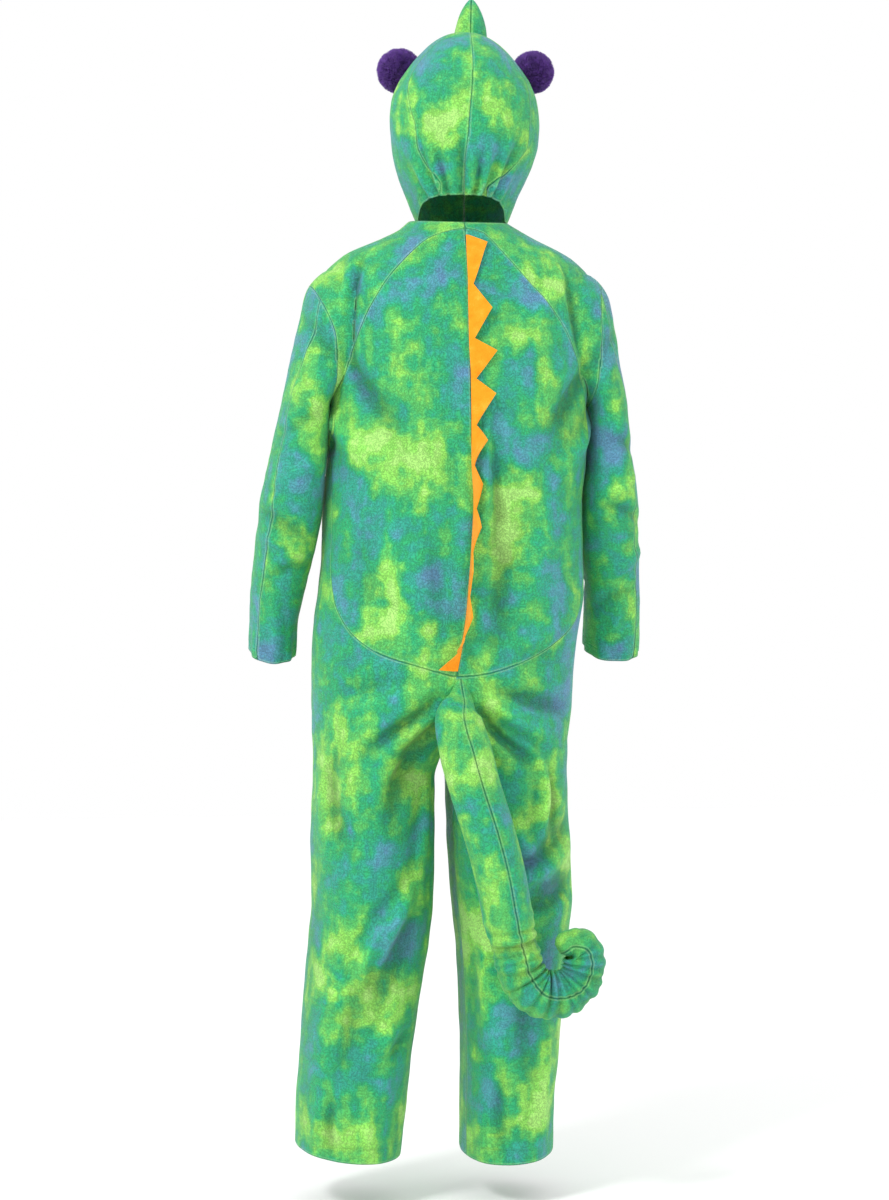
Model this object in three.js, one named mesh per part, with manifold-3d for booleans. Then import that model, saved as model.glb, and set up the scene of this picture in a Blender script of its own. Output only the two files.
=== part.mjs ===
// A chameleon costume, worn: a one-piece suit of thin plush with a felt crest and a stuffed tail,
// and a separate hood with a stuffed horn and two plush balls for eyes.
// Millimetres, +Z up, the front faces -Y, the wearer's left is +X.
// The origin is the middle of the neck opening.
import * as THREE from "three";
import { mergeVertices } from "three/addons/utils/BufferGeometryUtils.js";
import Module from "manifold-3d";

const wasm = await Module();
wasm.setup();

// Cloth and seams
const wall = 2;
const seam = 0.3;
const overrun = 14;
const far = 700;

// Heights of the suit
const crotchZ = -811;
const hipZ = -690;
const neckBackDip = 8;
const neckFrontDip = 35;

// Seam line between the back and the front of the suit, as seen from above
const sideSeamMiddleY = 30;
const sideSeamSlope = -0.225;

// Sleeve seams, seen from above: the way from the middle of a sleeve to its outer back seam
const sleeveSeamTurn = THREE.MathUtils.degToRad(52);

// Hood
const hoodX = -12;
const hoodY = -5;
const hoodTurn = THREE.MathUtils.degToRad(-10);
const faceHalfWidth = 72;
const faceHalfHeight = 85;
const faceZ = 141;
const hemRounding = 2.2;
const napeFolds = 8;
const napeTurn = 1.15;
const napeFoldDepth = 1.6;
const napeFoldTop = 112;

// Horn on the crown
const hornTipZ = 344;
const hornFootZ = 262;
const hornRadius = 26;
const hornForward = -22;
const hornAcross = -9;
const hornLean = -2;

// Plush balls
const ballForward = -50;

// Crest of felt
const feltThickness = 2;
const crestTop = -27;
const crestTopWidth = 4;
const crestSeat = 0.8;

// Tail
const tailGathers = 12;
const tailGatherDepth = 0.07;
const tailSides = 12;
const tailSeamTurn = THREE.MathUtils.degToRad(11);

// Colours
const plushLight = 0x7fdc4e;
const plushMid = 0x4fc868;
const plushDark = 0x36a985;
const orange = 0xff9a22;
const purple = 0x43207a;

function table(names, rows) {
  const made = rows.map((row) => Object.fromEntries(names.map((name, i) => [name, row[i]])));
  return made.sort((a, b) => a.z - b.z);
}

// Girths of the trunk: widest reach to the left and right, the middle seam, and the depth of each side
const trunk = table(
  ["z", "left", "right", "middle", "back", "front", "power"],
  [
    [0, 73, -71, 1.5, 70, 80, 2.0],
    [-15, 90, -97, 1.5, 78, 84, 2.0],
    [-27, 113, -119, 1.5, 84, 88, 2.0],
    [-58, 180, -181, 2.5, 96, 92, 2.1],
    [-89, 207, -208, 2.5, 106, 98, 2.2],
    [-119, 212, -211, 3.5, 114, 106, 2.3],
    [-180, 205, -207, 4, 124, 118, 2.4],
    [-245, 195, -201, 2, 129, 128, 2.5],
    [-310, 197, -199, 1, 130, 136, 2.5],
    [-370, 201, -197, 0.5, 129, 143, 2.5],
    [-425, 204, -191, -2.5, 128, 148, 2.5],
    [-500, 205.5, -192, 1, 128, 149, 2.5],
    [-560, 211, -193, 5, 128, 147, 2.5],
    [-600, 217, -188, 8.5, 129, 144, 2.5],
    [-640, 221, -181, 15, 131, 141, 2.5],
    [hipZ, 222, -176, 24, 131, 137, 2.5],
  ]
);

// Girths of each leg: outer side, the line of greatest depth, inner side, depths, and the lean of the hem
const legNames = ["z", "outer", "middle", "inner", "back", "front", "power", "leanX", "leanY"];
const leftLeg = table(legNames, [
  [-740, 222, 40, 8, 128, 132, 2.4, 0, 0],
  [-775, 222, 76, 17, 121, 124, 2.3, 0, 0],
  [crotchZ, 221, 112, 27.5, 115, 116, 2.2, 0, 0],
  [-850, 222, 130, 37, 110, 108, 2.1, 0, 0],
  [-945, 226, 131, 38, 105, 102, 2.1, 0, 0],
  [-1037, 225, 131, 40, 103, 100, 2.1, 0, 0],
  [-1098, 231, 137, 46, 100, 99, 2.1, 0, 0],
  [-1190, 238, 147, 60, 98, 97, 2.1, 0, 0],
  [-1282, 244, 156, 73, 97, 96, 2.1, 0, 0],
  [-1343, 248, 162, 80, 96, 95, 2.1, 0.03, -0.02],
  [-1411, 249, 166, 89, 95, 95, 2.1, 0.09, -0.08],
]);
const rightLeg = table(legNames, [
  [-740, -174, 2, 40, 128, 132, 2.4, 0, 0],
  [-775, -171, -28, 34, 121, 124, 2.3, 0, 0],
  [crotchZ, -169, -62, 25.5, 115, 116, 2.2, 0, 0],
  [-850, -169, -75, 18, 110, 108, 2.1, 0, 0],
  [-945, -172, -77, 15, 105, 102, 2.1, 0, 0],
  [-1037, -176, -81, 9, 103, 100, 2.1, 0, 0],
  [-1098, -171, -80, 3, 100, 99, 2.1, 0, 0],
  [-1190, -163, -81, -3, 98, 97, 2.1, 0, 0],
  [-1282, -157, -80, -6, 97, 96, 2.1, 0, 0],
  [-1343, -150, -77, -6, 96, 95, 2.1, 0.02, -0.04],
  [-1419, -148, -76, -6, 95, 95, 2.1, -0.05, -0.1],
]);

// Girths of the sleeves, from inside the shoulder to the cuff
const sleeveRows = table(
  ["z", "outerLeft", "innerLeft", "outerRight", "innerRight", "half", "middleY", "lean"],
  [
    [-72, 187, 130, -181, -128, 34, 0, 0],
    [-84, 210, 118, -211, -118, 52, 0, 0],
    [-104, 228, 112, -229, -112, 66, 0, 0],
    [-119, 234, 112, -236, -112, 71, 0, 0],
    [-150, 240, 116, -243, -116, 74, 0, 0],
    [-180, 248, 122, -248, -122, 74, 1, 0],
    [-211, 255, 134, -250, -134, 72, 3, 0],
    [-238, 261, 156, -255, -158, 69, 5, 0],
    [-262, 266, 186, -258, -190, 66, 7, 0],
    [-285, 271, 198.5, -261, -202, 63, 9, 0],
    [-310, 277, 199, -264, -202, 61, 10, 0],
    [-340, 284, 201, -267, -200, 59, 12, 0],
    [-370, 291, 203, -271, -199, 58, 13, 0],
    [-413, 299, 206, -278, -194, 57, 8, 0],
    [-456, 305, 209, -283, -194.5, 55, -4, 0],
    [-486, 307, 214, -286, -197, 54, -14, 0.04],
    [-517, 309, 220, -290, -202, 52, -26, 0.1],
    [-548, 311, 227, -294, -208, 50, -38, 0.19],
    [-578, 312, 233, -298, -211, 48, -48, 0.28],
    [-609, 312, 239, -300, -213, 46, -58, 0.36],
    [-655, 312, 241, -301, -214, 44, -70, 0.45],
  ]
);

// Girths of the hood about its own middle, with the slope of its lower edge and its shift to the left
const hoodRows = table(
  ["z", "half", "back", "front", "slope", "middle"],
  [
    [-6, 66, 86, 84, 0.43, 4],
    [20, 77, 92, 92, 0.38, 4],
    [46, 88, 98, 99, 0.32, 3.5],
    [70, 99, 103, 105, 0.26, 2.5],
    [95, 108, 106, 110, 0.2, 1],
    [119, 113, 108, 113, 0.14, 0],
    [148, 114.5, 108, 115, 0.08, 0],
    [181, 111, 107, 114, 0.03, 0],
    [205, 102.5, 103, 110, 0, 0],
    [229, 87.5, 94, 100, 0, 0],
    [252, 69.5, 79, 85, 0, 0],
    [267, 54, 64, 68, 0, 0],
    [279, 35.5, 44, 46, 0, 0],
    [286, 15, 19, 20, 0, 0],
  ]
);

// Large folds of the suit: a soft ridge (or a trough, where the height is negative) between two points
const folds = [
  { face: 1, x: 92, z: -1015, toX: 142, toZ: -1110, width: 24, height: 9 },
  { face: 1, x: 84, z: -1060, toX: 150, toZ: -1170, width: 26, height: -8 },
  { face: 1, x: -70, z: -1040, toX: -168, toZ: -925, width: 24, height: -7 },
  { face: 1, x: -60, z: -985, toX: -150, toZ: -890, width: 22, height: 6 },
  { face: 1, x: 48, z: -725, toX: 140, toZ: -830, width: 24, height: -7 },
  { face: 1, x: -12, z: -725, toX: -120, toZ: -815, width: 24, height: -7 },
  { face: 1, x: -24, z: -330, toX: -22, toZ: -500, width: 16, height: 4 },
  { face: 1, x: 180, z: -250, toX: 120, toZ: -330, width: 24, height: -5 },
  { face: 1, x: -185, z: -265, toX: -125, toZ: -340, width: 24, height: -5 },
  { face: -1, x: 60, z: -745, toX: 170, toZ: -700, width: 24, height: -7 },
  { face: -1, x: -20, z: -745, toX: -130, toZ: -705, width: 24, height: -7 },
  { face: -1, x: 90, z: -1010, toX: 190, toZ: -1060, width: 24, height: 7 },
  { face: -1, x: -20, z: -1050, toX: -130, toZ: -1010, width: 24, height: 7 },
  { face: -1, x: 170, z: -260, toX: 90, toZ: -350, width: 26, height: -6 },
  { face: -1, x: -170, z: -265, toX: -90, toZ: -350, width: 26, height: -6 },
];

// The crest's teeth: the height and width of each point, and the height of the notch below it
const teeth = table(
  ["z", "width", "notchZ"],
  [
    [-39, 32, -105],
    [-141, 36, -187],
    [-205, 41, -247],
    [-269, 37, -316],
    [-339, 34, -376],
    [-404, 34, -440],
    [-468, 34, -505],
    [-534, 34, -570],
    [-600, 34, -630],
    [-643, 32, -654],
    [-679, 31, -681],
  ]
).reverse();
const notchWidth = 8;

// How far the crest has fallen to one side: 90 lies flat to the right, -90 flat to the left
const crestLean = table(
  ["z", "angle"],
  [
    [0, 80],
    [-205, 79],
    [-269, 66],
    [-339, 42],
    [-376, 16],
    [-440, 5],
    [-570, 5],
    [-610, -2],
    [-643, -22],
    [-656, -50],
    [-672, -74],
    [-700, -80],
  ]
);

// The tail's middle line and thickness, from its sewn root to its curled end
const tailRows = [
  { x: 18, y: 128, z: -694, radius: 5 },
  { x: 19, y: 137, z: -720, radius: 19 },
  { x: 25, y: 152, z: -748, radius: 36 },
  { x: 15, y: 160, z: -799, radius: 40 },
  { x: 1, y: 164, z: -854, radius: 38.5 },
  { x: -19, y: 166, z: -918, radius: 38 },
  { x: -35, y: 167, z: -980, radius: 38 },
  { x: -48, y: 168, z: -1048, radius: 37 },
  { x: -57, y: 168, z: -1085, radius: 36 },
  { x: -69, y: 168, z: -1129, radius: 36.5 },
  { x: -90, y: 169, z: -1155, radius: 37 },
  { x: -117, y: 170, z: -1160, radius: 37.5 },
  { x: -146, y: 171, z: -1149, radius: 35 },
  { x: -161, y: 171, z: -1121, radius: 33.5 },
  { x: -156, y: 171, z: -1092, radius: 31 },
  { x: -137, y: 171, z: -1087, radius: 23 },
  { x: -125, y: 171, z: -1098, radius: 13 },
];

// The oval of the two back panels, around which the long side pieces run
const ovalSeam = [
  [-3, -20], [20, -22], [44, -29], [66, -41], [99, -72], [126, -104], [145, -136], [161, -172], [173, -212],
  [184, -250], [193, -290], [197, -340], [198, -400], [198, -470], [200, -530], [198, -572],
  [190, -600], [173, -628], [137, -655], [87, -672], [49, -683], [22, -689], [-24, -685],
  [-69, -672], [-117, -650], [-157, -622], [-175, -600], [-184, -566], [-184, -500], [-183, -430],
  [-189, -360], [-192, -305], [-184, -262], [-165, -207], [-144, -164], [-113, -124], [-70, -75],
  [-33, -32], [-18, -23],
];

// Armhole seams, carried on down the narrow space between sleeve and trunk
const leftArmhole = [
  [244, 0], [240, -62], [226, -105], [206, -150], [195, -186], [194, -240], [197, -268], [197.8, -300],
  [202, -370], [206.5, -440], [210, -490], [219, -560], [229, -620], [232, -700],
];
const rightArmhole = [
  [-236, 0], [-232, -62], [-214, -107], [-211, -142], [-210, -200], [-205, -245], [-201, -285],
  [-200.4, -310], [-198.2, -370], [-192.8, -420], [-196, -500], [-201, -560], [-201, -620], [-197, -700],
];

// The hood's centre-back seam, from below the nape up over the crown
const hoodCentreSeam = [
  [0, -200], [0, 46], [-1.5, 81], [-6, 116], [-8, 150], [-12, 195], [-12, 237], [-9, 283], [-9, 400],
];

// The hood's back panels, between the seams that run from the crown to the nape
const hoodBackSeam = [
  [0, 330], [14, 279], [39, 266], [66, 236], [84, 200], [80, 160], [73, 136], [69, 102],
  [53, 72], [36, 48], [36, -60], [-34, -60], [-34, 44], [-62, 66], [-86, 92], [-97, 118],
  [-97, 190], [-78, 232], [-50, 264], [-33, 277],
];

// Value of a table at any height, on a smooth curve through its rows
function rowAt(rows, z) {
  let i = 1;
  while (i < rows.length - 1 && rows[i].z < z) {
    i += 1;
  }
  const low = rows[i - 1];
  const high = rows[i];
  const span = high.z - low.z;
  const t = THREE.MathUtils.clamp((z - low.z) / span, 0, 1);
  const found = { z };
  for (const name of Object.keys(low)) {
    if (name === "z") {
      continue;
    }
    const startSlope = slopeAt(rows, name, i - 1) * span;
    const endSlope = slopeAt(rows, name, i) * span;
    const t2 = t * t;
    const t3 = t2 * t;
    found[name] =
      (2 * t3 - 3 * t2 + 1) * low[name] +
      (t3 - 2 * t2 + t) * startSlope +
      (3 * t2 - 2 * t3) * high[name] +
      (t3 - t2) * endSlope;
  }
  return found;
}

// Slope of a column at a row, flat where the column turns back
function slopeAt(rows, name, i) {
  const before = rows[Math.max(i - 1, 0)];
  const here = rows[i];
  const after = rows[Math.min(i + 1, rows.length - 1)];
  const lower = here === before ? null : (here[name] - before[name]) / (here.z - before.z);
  const upper = here === after ? null : (after[name] - here[name]) / (after.z - here.z);
  if (lower === null || upper === null) {
    return lower ?? upper;
  }
  if (lower * upper <= 0) {
    return 0;
  }
  return (2 * lower * upper) / (lower + upper);
}

function steps(from, to, count) {
  return Array.from({ length: count }, (_, i) => from + ((to - from) * i) / count);
}

// A rounded outline: power 2 is an ellipse, more is squarer
function bend(value, power) {
  return Math.sign(value) * Math.pow(Math.abs(value), 2 / power);
}

function foldHeight(x, z, face) {
  let height = 0;
  for (const fold of folds) {
    if (fold.face !== face) {
      continue;
    }
    const alongX = fold.toX - fold.x;
    const alongZ = fold.toZ - fold.z;
    const length2 = alongX * alongX + alongZ * alongZ;
    const t = ((x - fold.x) * alongX + (z - fold.z) * alongZ) / length2;
    const held = THREE.MathUtils.clamp(t, 0, 1);
    const off = Math.hypot(x - fold.x - held * alongX, z - fold.z - held * alongZ);
    const fade = 0.35 + 0.65 * Math.sin(Math.PI * THREE.MathUtils.clamp(0.12 + 0.76 * held, 0, 1));
    height += fold.height * fade * Math.exp(-((off / fold.width) ** 2));
  }
  return height;
}

// Rows of one half of the suit, from the hem to the neck
function halfRows(legRows, side) {
  const overlap = 20;
  const upper = trunk.map((row) => ({
    z: row.z,
    outer: side > 0 ? row.left : row.right,
    middle: row.middle,
    inner: row.middle - side * overlap,
    back: row.back,
    front: row.front,
    power: row.power,
    leanX: 0,
    leanY: 0,
  }));
  return [...legRows, ...upper].sort((a, b) => a.z - b.z);
}

const leftRows = halfRows(leftLeg, 1);
const rightRows = halfRows(rightLeg, -1);

const bodyTurns = [
  ...steps(-Math.PI / 2, Math.PI / 2, 12),
  ...steps(Math.PI / 2, (3 * Math.PI) / 2, 6),
];

function halfRing(rows, z) {
  const row = rowAt(rows, z);
  const neckness = THREE.MathUtils.clamp(1 + z / 60, 0, 1) ** 2;
  return bodyTurns.map((turn) => {
    const across = Math.cos(turn);
    const deep = Math.sin(turn);
    const reach = (across > 0 ? row.outer : row.inner) - row.middle;
    const x = row.middle + reach * Math.abs(bend(across, row.power));
    const face = deep > 0 ? 1 : -1;
    const share = bend(deep, row.power);
    const depth = deep > 0 ? row.back : row.front;
    const fold = foldHeight(x, z, face) * Math.abs(share);
    const y = share * (depth + fold);
    const dip = (deep > 0 ? neckBackDip : neckFrontDip) * share * share * neckness;
    return new THREE.Vector3(x, y, z + row.leanX * (x - row.middle) + row.leanY * y - dip);
  });
}

function bodyLevels(hemZ) {
  return [
    ...steps(hemZ, -1040, 4),
    ...steps(-1040, -830, 4),
    ...steps(-830, hipZ, 4),
    ...steps(hipZ, -250, 6),
    ...steps(-250, -90, 3),
    ...steps(-90, 0, 4),
    0,
  ];
}

function sleeveRing(z, side) {
  const row = rowAt(sleeveRows, z);
  const outer = side > 0 ? row.outerLeft : row.outerRight;
  const inner = side > 0 ? row.innerLeft : row.innerRight;
  const middle = (outer + inner) / 2;
  const half = (outer - inner) / 2;
  return steps(0, 2 * Math.PI, 14).map((turn) => {
    const x = middle + half * bend(Math.cos(turn), 2.15);
    const y = row.half * bend(Math.sin(turn), 2.15);
    return new THREE.Vector3(x, row.middleY + y, z - row.lean * y);
  });
}

// Angles round the hood, close together across the gathered nape
const hoodTurns = [
  ...steps(0, napeTurn, 4),
  ...steps(napeTurn, Math.PI - napeTurn, napeFolds * 2),
  ...steps(Math.PI - napeTurn, 2 * Math.PI, 13),
];

function hoodPoint(u, v, z) {
  const x = hoodX + u * Math.cos(hoodTurn) - v * Math.sin(hoodTurn);
  const y = hoodY + u * Math.sin(hoodTurn) + v * Math.cos(hoodTurn);
  return new THREE.Vector3(x, y, z);
}

function hoodRing(z) {
  const row = rowAt(hoodRows, z);
  const gather = THREE.MathUtils.clamp((napeFoldTop - z) / napeFoldTop, 0, 1);
  return hoodTurns.map((turn, i) => {
    const u = row.middle + row.half * bend(Math.cos(turn), 2.1);
    const deep = Math.sin(turn);
    const depth = deep > 0 ? row.back : row.front;
    const inNape = turn > napeTurn && turn < Math.PI - napeTurn;
    const ripple = inNape ? (i % 2 === 0 ? 1 : -1) * napeFoldDepth * gather : 0;
    const share = bend(deep, 2.1);
    const v = depth * share + ripple;
    const lift = deep > 0 ? 1 - Math.pow(1 - share, hemRounding) : share;
    return hoodPoint(u, v, z + row.slope * depth * lift);
  });
}

// Every ring moved square to its surface, inwards for a positive distance, and the ends moved up or down
function moved(rings, distance, bottomStep, topStep) {
  const last = rings.length - 1;
  const size = rings[0].length;
  const turning = windingOf(rings);
  return rings.map((ring, i) =>
    ring.map((point, j) => {
      const up = rings[Math.min(i + 1, last)][j].clone().sub(rings[Math.max(i - 1, 0)][j]);
      const round = ring[(j + 1) % size].clone().sub(ring[(j + size - 1) % size]);
      const out = round.cross(up).normalize().multiplyScalar(turning);
      const place = point.clone().addScaledVector(out, -distance);
      if (i === 0) {
        place.z -= bottomStep;
      }
      if (i === last) {
        place.z += topStep;
      }
      return place;
    })
  );
}

// +1 where the rings run anticlockwise as seen from their upper end
function windingOf(rings) {
  const ring = rings[Math.floor(rings.length / 2)];
  const centre = middleOf(ring);
  const area = new THREE.Vector3();
  ring.forEach((point, j) => {
    const next = ring[(j + 1) % ring.length];
    area.add(point.clone().sub(centre).cross(next.clone().sub(centre)));
  });
  const up = middleOf(rings[rings.length - 1]).sub(middleOf(rings[0]));
  return Math.sign(area.dot(up));
}

function middleOf(ring) {
  const sum = new THREE.Vector3();
  ring.forEach((point) => sum.add(point));
  return sum.divideScalar(ring.length);
}

function solidFrom(positions, triangles) {
  let volume = 0;
  for (let i = 0; i < triangles.length; i += 3) {
    const [a, b, c] = [0, 1, 2].map((k) =>
      new THREE.Vector3().fromArray(positions, triangles[i + k] * 3)
    );
    volume += a.dot(b.cross(c));
  }
  const faces = Uint32Array.from(triangles);
  if (volume < 0) {
    for (let i = 0; i < faces.length; i += 3) {
      faces[i + 1] = triangles[i + 2];
      faces[i + 2] = triangles[i + 1];
    }
  }
  const mesh = new wasm.Mesh({
    numProp: 3,
    vertProperties: Float32Array.from(positions),
    triVerts: faces,
  });
  return new wasm.Manifold(mesh);
}

// Closed solid through a row of rings, with a flat fan at each end
function loft(rings) {
  const size = rings[0].length;
  const last = rings.length - 1;
  const positions = rings.flat().flatMap((point) => point.toArray());
  const triangles = [];
  const corner = (i, j) => i * size + (j % size);
  for (let i = 0; i < last; i += 1) {
    for (let j = 0; j < size; j += 1) {
      triangles.push(corner(i, j), corner(i, j + 1), corner(i + 1, j + 1));
      triangles.push(corner(i, j), corner(i + 1, j + 1), corner(i + 1, j));
    }
  }
  const bottom = positions.length / 3;
  positions.push(...middleOf(rings[0]).toArray(), ...middleOf(rings[last]).toArray());
  for (let j = 0; j < size; j += 1) {
    triangles.push(bottom, corner(0, j + 1), corner(0, j));
    triangles.push(bottom + 1, corner(last, j), corner(last, j + 1));
  }
  return solidFrom(positions, triangles);
}

// Solid of a flat outline drawn out along the third direction
function prism(outline, from, to, place) {
  const shape = new THREE.Shape(outline.map(([a, b]) => new THREE.Vector2(a, b)));
  const geometry = new THREE.ExtrudeGeometry(shape, { depth: to - from, bevelEnabled: false });
  geometry.deleteAttribute("normal");
  geometry.deleteAttribute("uv");
  const merged = mergeVertices(geometry);
  const flat = merged.getAttribute("position");
  const positions = [];
  for (let i = 0; i < flat.count; i += 1) {
    positions.push(...place(flat.getX(i), flat.getY(i), flat.getZ(i) + from).toArray());
  }
  return solidFrom(positions, Array.from(merged.getIndex().array));
}

// The outline moved outwards by a distance
function grown(outline, distance) {
  const count = outline.length;
  let area = 0;
  outline.forEach(([x, z], i) => {
    const [nextX, nextZ] = outline[(i + 1) % count];
    area += x * nextZ - nextX * z;
  });
  return outline.map(([x, z], i) => {
    const [lastX, lastZ] = outline[(i + count - 1) % count];
    const [nextX, nextZ] = outline[(i + 1) % count];
    const before = new THREE.Vector2(z - lastZ, lastX - x).normalize();
    const after = new THREE.Vector2(nextZ - z, x - nextX).normalize();
    const out = before.clone().add(after).normalize();
    const reach = (Math.sign(area) * distance) / Math.max(out.dot(after), 0.5);
    return [x + out.x * reach, z + out.y * reach];
  });
}

const seenFromBack = (x, z, y) => new THREE.Vector3(x, y, z);
const seenFromAbove = (x, y, z) => new THREE.Vector3(x, y, z);
const seenFromHoodBack = (u, z, v) => hoodPoint(u, v, z);

// The two sides of a cut, with the seam's space between them
function cut(cloth, outline, from, to, place) {
  const inside = cloth.intersect(prism(outline, from, to, place));
  const outside = cloth.subtract(prism(grown(outline, seam), from, to, place));
  return [inside, outside];
}

// The main body of a cut piece, without crumbs left where two surfaces cross
function whole(solid) {
  const bodies = solid.decompose();
  return bodies.reduce((best, next) => (next.volume() > best.volume() ? next : best));
}

const plush = (color) => new THREE.MeshStandardMaterial({ color, roughness: 0.85, metalness: 0 });
const felt = (color) => new THREE.MeshStandardMaterial({ color, roughness: 0.95, metalness: 0 });

function pieceOf(name, solid, material) {
  const made = whole(solid).getMesh();
  const geometry = new THREE.BufferGeometry();
  geometry.setAttribute("position", new THREE.BufferAttribute(Float32Array.from(made.vertProperties), 3));
  geometry.setIndex(Array.from(made.triVerts));
  geometry.computeVertexNormals();
  const mesh = new THREE.Mesh(geometry, material);
  mesh.name = name;
  return mesh;
}

// Suit
function suitRings() {
  const leftHemZ = leftLeg[0].z;
  const rightHemZ = rightLeg[0].z;
  const topZ = sleeveRows[sleeveRows.length - 1].z;
  const cuffZ = sleeveRows[0].z;
  const sleeveLevels = [...steps(cuffZ, -300, 7), ...steps(-300, -210, 3), ...steps(-210, -104, 2)];
  sleeveLevels.push(-104, -88, topZ);
  return {
    left: bodyLevels(leftHemZ).map((z) => halfRing(leftRows, z)),
    right: bodyLevels(rightHemZ).map((z) => halfRing(rightRows, z)),
    leftSleeve: sleeveLevels.map((z) => sleeveRing(z, 1)),
    rightSleeve: sleeveLevels.map((z) => sleeveRing(z, -1)),
  };
}

// One half of the suit with its sleeve, filled
function halfSolid(body, sleeve, distance, edgeStep) {
  const half = loft(moved(body, distance, edgeStep, edgeStep));
  return half.add(loft(moved(sleeve, distance, edgeStep, -Math.max(distance, 0))));
}

function halfCloth(body, sleeve) {
  return halfSolid(body, sleeve, 0, 0).subtract(halfSolid(body, sleeve, wall, overrun));
}

function leftOutline() {
  const line = [0, -90, -165, -260, -350, -425, -517, -594, -640, hipZ].map((z) => [
    rowAt(trunk, z).middle,
    z,
  ]);
  return [
    [-2, 60],
    ...line,
    [26.5, crotchZ + 20],
    [26.5, crotchZ - 60],
    [26.5, -far * 2.4],
    [far, -far * 2.4],
    [far, 60],
  ];
}

function backOutline() {
  return [
    [0, sideSeamMiddleY],
    [far, sideSeamMiddleY + sideSeamSlope * far],
    [far, far],
    [-far, far],
    [-far, sideSeamMiddleY + sideSeamSlope * far],
  ];
}

function sleeveOutline(line, side) {
  return [...line, [side * far, -far], [side * far, 0]];
}

// A slab that fills one side of a sleeve, bounded by the plane of its two seams
function sleeveSeamSlab(side, gap) {
  const along = new THREE.Vector3(side * Math.cos(sleeveSeamTurn), Math.sin(sleeveSeamTurn), 0);
  const square = new THREE.Vector3(side * Math.sin(sleeveSeamTurn), -Math.cos(sleeveSeamTurn), 0);
  const levels = [-760, -655, -578, -486, -413, -340, -262, -180, -119, -30];
  const rings = levels.map((z) => {
    const row = rowAt(sleeveRows, z);
    const outer = side > 0 ? row.outerLeft : row.outerRight;
    const inner = side > 0 ? row.innerLeft : row.innerRight;
    const middle = new THREE.Vector3((outer + inner) / 2, row.middleY, z);
    return [
      middle.clone().addScaledVector(along, -200).addScaledVector(square, -gap),
      middle.clone().addScaledVector(along, 200).addScaledVector(square, -gap),
      middle.clone().addScaledVector(along, 200).addScaledVector(square, 250),
      middle.clone().addScaledVector(along, -200).addScaledVector(square, 250),
    ];
  });
  return loft(rings);
}

function makeSuit(rings) {
  const leftArm = sleeveOutline(leftArmhole, 1);
  const rightArm = sleeveOutline(rightArmhole, -1);
  const leftCloth = halfCloth(rings.left, rings.leftSleeve);
  const rightCloth = halfCloth(rings.right, rings.rightSleeve);
  const [leftSleeve, leftWhole] = cut(leftCloth, leftArm, -far, far, seenFromBack);
  const [rightSleeve, rightWhole] = cut(rightCloth, rightArm, -far, far, seenFromBack);
  const leftBody = cut(leftWhole, leftOutline(), -far, far, seenFromBack)[0];
  const rightBody = cut(rightWhole, leftOutline(), -far, far, seenFromBack)[1];
  const [leftBack, leftFront] = cut(leftBody, backOutline(), -far * 3, far, seenFromAbove);
  const [rightBack, rightFront] = cut(rightBody, backOutline(), -far * 3, far, seenFromAbove);
  const [leftOval, leftSide] = cut(leftBack, ovalSeam, -10, far, seenFromBack);
  const [rightOval, rightSide] = cut(rightBack, ovalSeam, -10, far, seenFromBack);
  const pieces = [
    pieceOf("oval_back_left", leftOval, plush(plushMid)),
    pieceOf("oval_back_right", rightOval, plush(plushMid)),
    pieceOf("side_back_left", leftSide, plush(plushLight)),
    pieceOf("side_back_right", rightSide, plush(plushLight)),
    pieceOf("front_left", leftFront, plush(plushMid)),
    pieceOf("front_right", rightFront, plush(plushMid)),
  ];
  for (const [name, side, sleeve] of [["left", 1, leftSleeve], ["right", -1, rightSleeve]]) {
    const outer = sleeve.intersect(sleeveSeamSlab(side, 0));
    const inner = sleeve.subtract(sleeveSeamSlab(side, seam));
    pieces.push(pieceOf(`sleeve_outer_${name}`, outer, plush(plushLight)));
    pieces.push(pieceOf(`sleeve_inner_${name}`, inner, plush(plushDark)));
  }
  return pieces;
}

// Crest
function crestSection(z, width, lean) {
  const row = rowAt(trunk, z);
  const neckness = THREE.MathUtils.clamp(1 + z / 60, 0, 1) ** 2;
  const fold = foldHeight(row.middle, z, 1);
  const angle = THREE.MathUtils.degToRad(lean);
  const half = feltThickness / 2;
  const footY = row.back + fold + crestSeat + half * Math.abs(Math.sin(angle));
  const foot = new THREE.Vector3(row.middle, footY, z - neckBackDip * neckness);
  const outward = new THREE.Vector3(-Math.sin(angle), Math.cos(angle), 0);
  const across = new THREE.Vector3(Math.cos(angle), Math.sin(angle), 0);
  const edge = foot.clone().addScaledVector(outward, width);
  return [
    foot.clone().addScaledVector(across, -half),
    foot.clone().addScaledVector(across, half),
    edge.clone().addScaledVector(across, half),
    edge.clone().addScaledVector(across, -half),
  ];
}

function makeCrest() {
  const corners = [{ z: crestTop, width: crestTopWidth }];
  for (const tooth of teeth) {
    corners.push({ z: tooth.z, width: tooth.width });
    corners.push({ z: tooth.notchZ, width: notchWidth });
  }
  const rings = [];
  const splits = 2;
  for (let i = 0; i < corners.length - 1; i += 1) {
    for (let part = 0; part < splits; part += 1) {
      const t = part / splits;
      const z = THREE.MathUtils.lerp(corners[i].z, corners[i + 1].z, t);
      const width = THREE.MathUtils.lerp(corners[i].width, corners[i + 1].width, t);
      rings.push(crestSection(z, width, rowAt(crestLean, z).angle));
    }
  }
  return pieceOf("crest", loft(rings), felt(orange));
}

// Tail
function tailPath() {
  const curve = new THREE.CatmullRomCurve3(tailRows.map((row) => new THREE.Vector3(row.x, row.y, row.z)));
  curve.arcLengthDivisions = 400;
  return curve;
}

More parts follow.
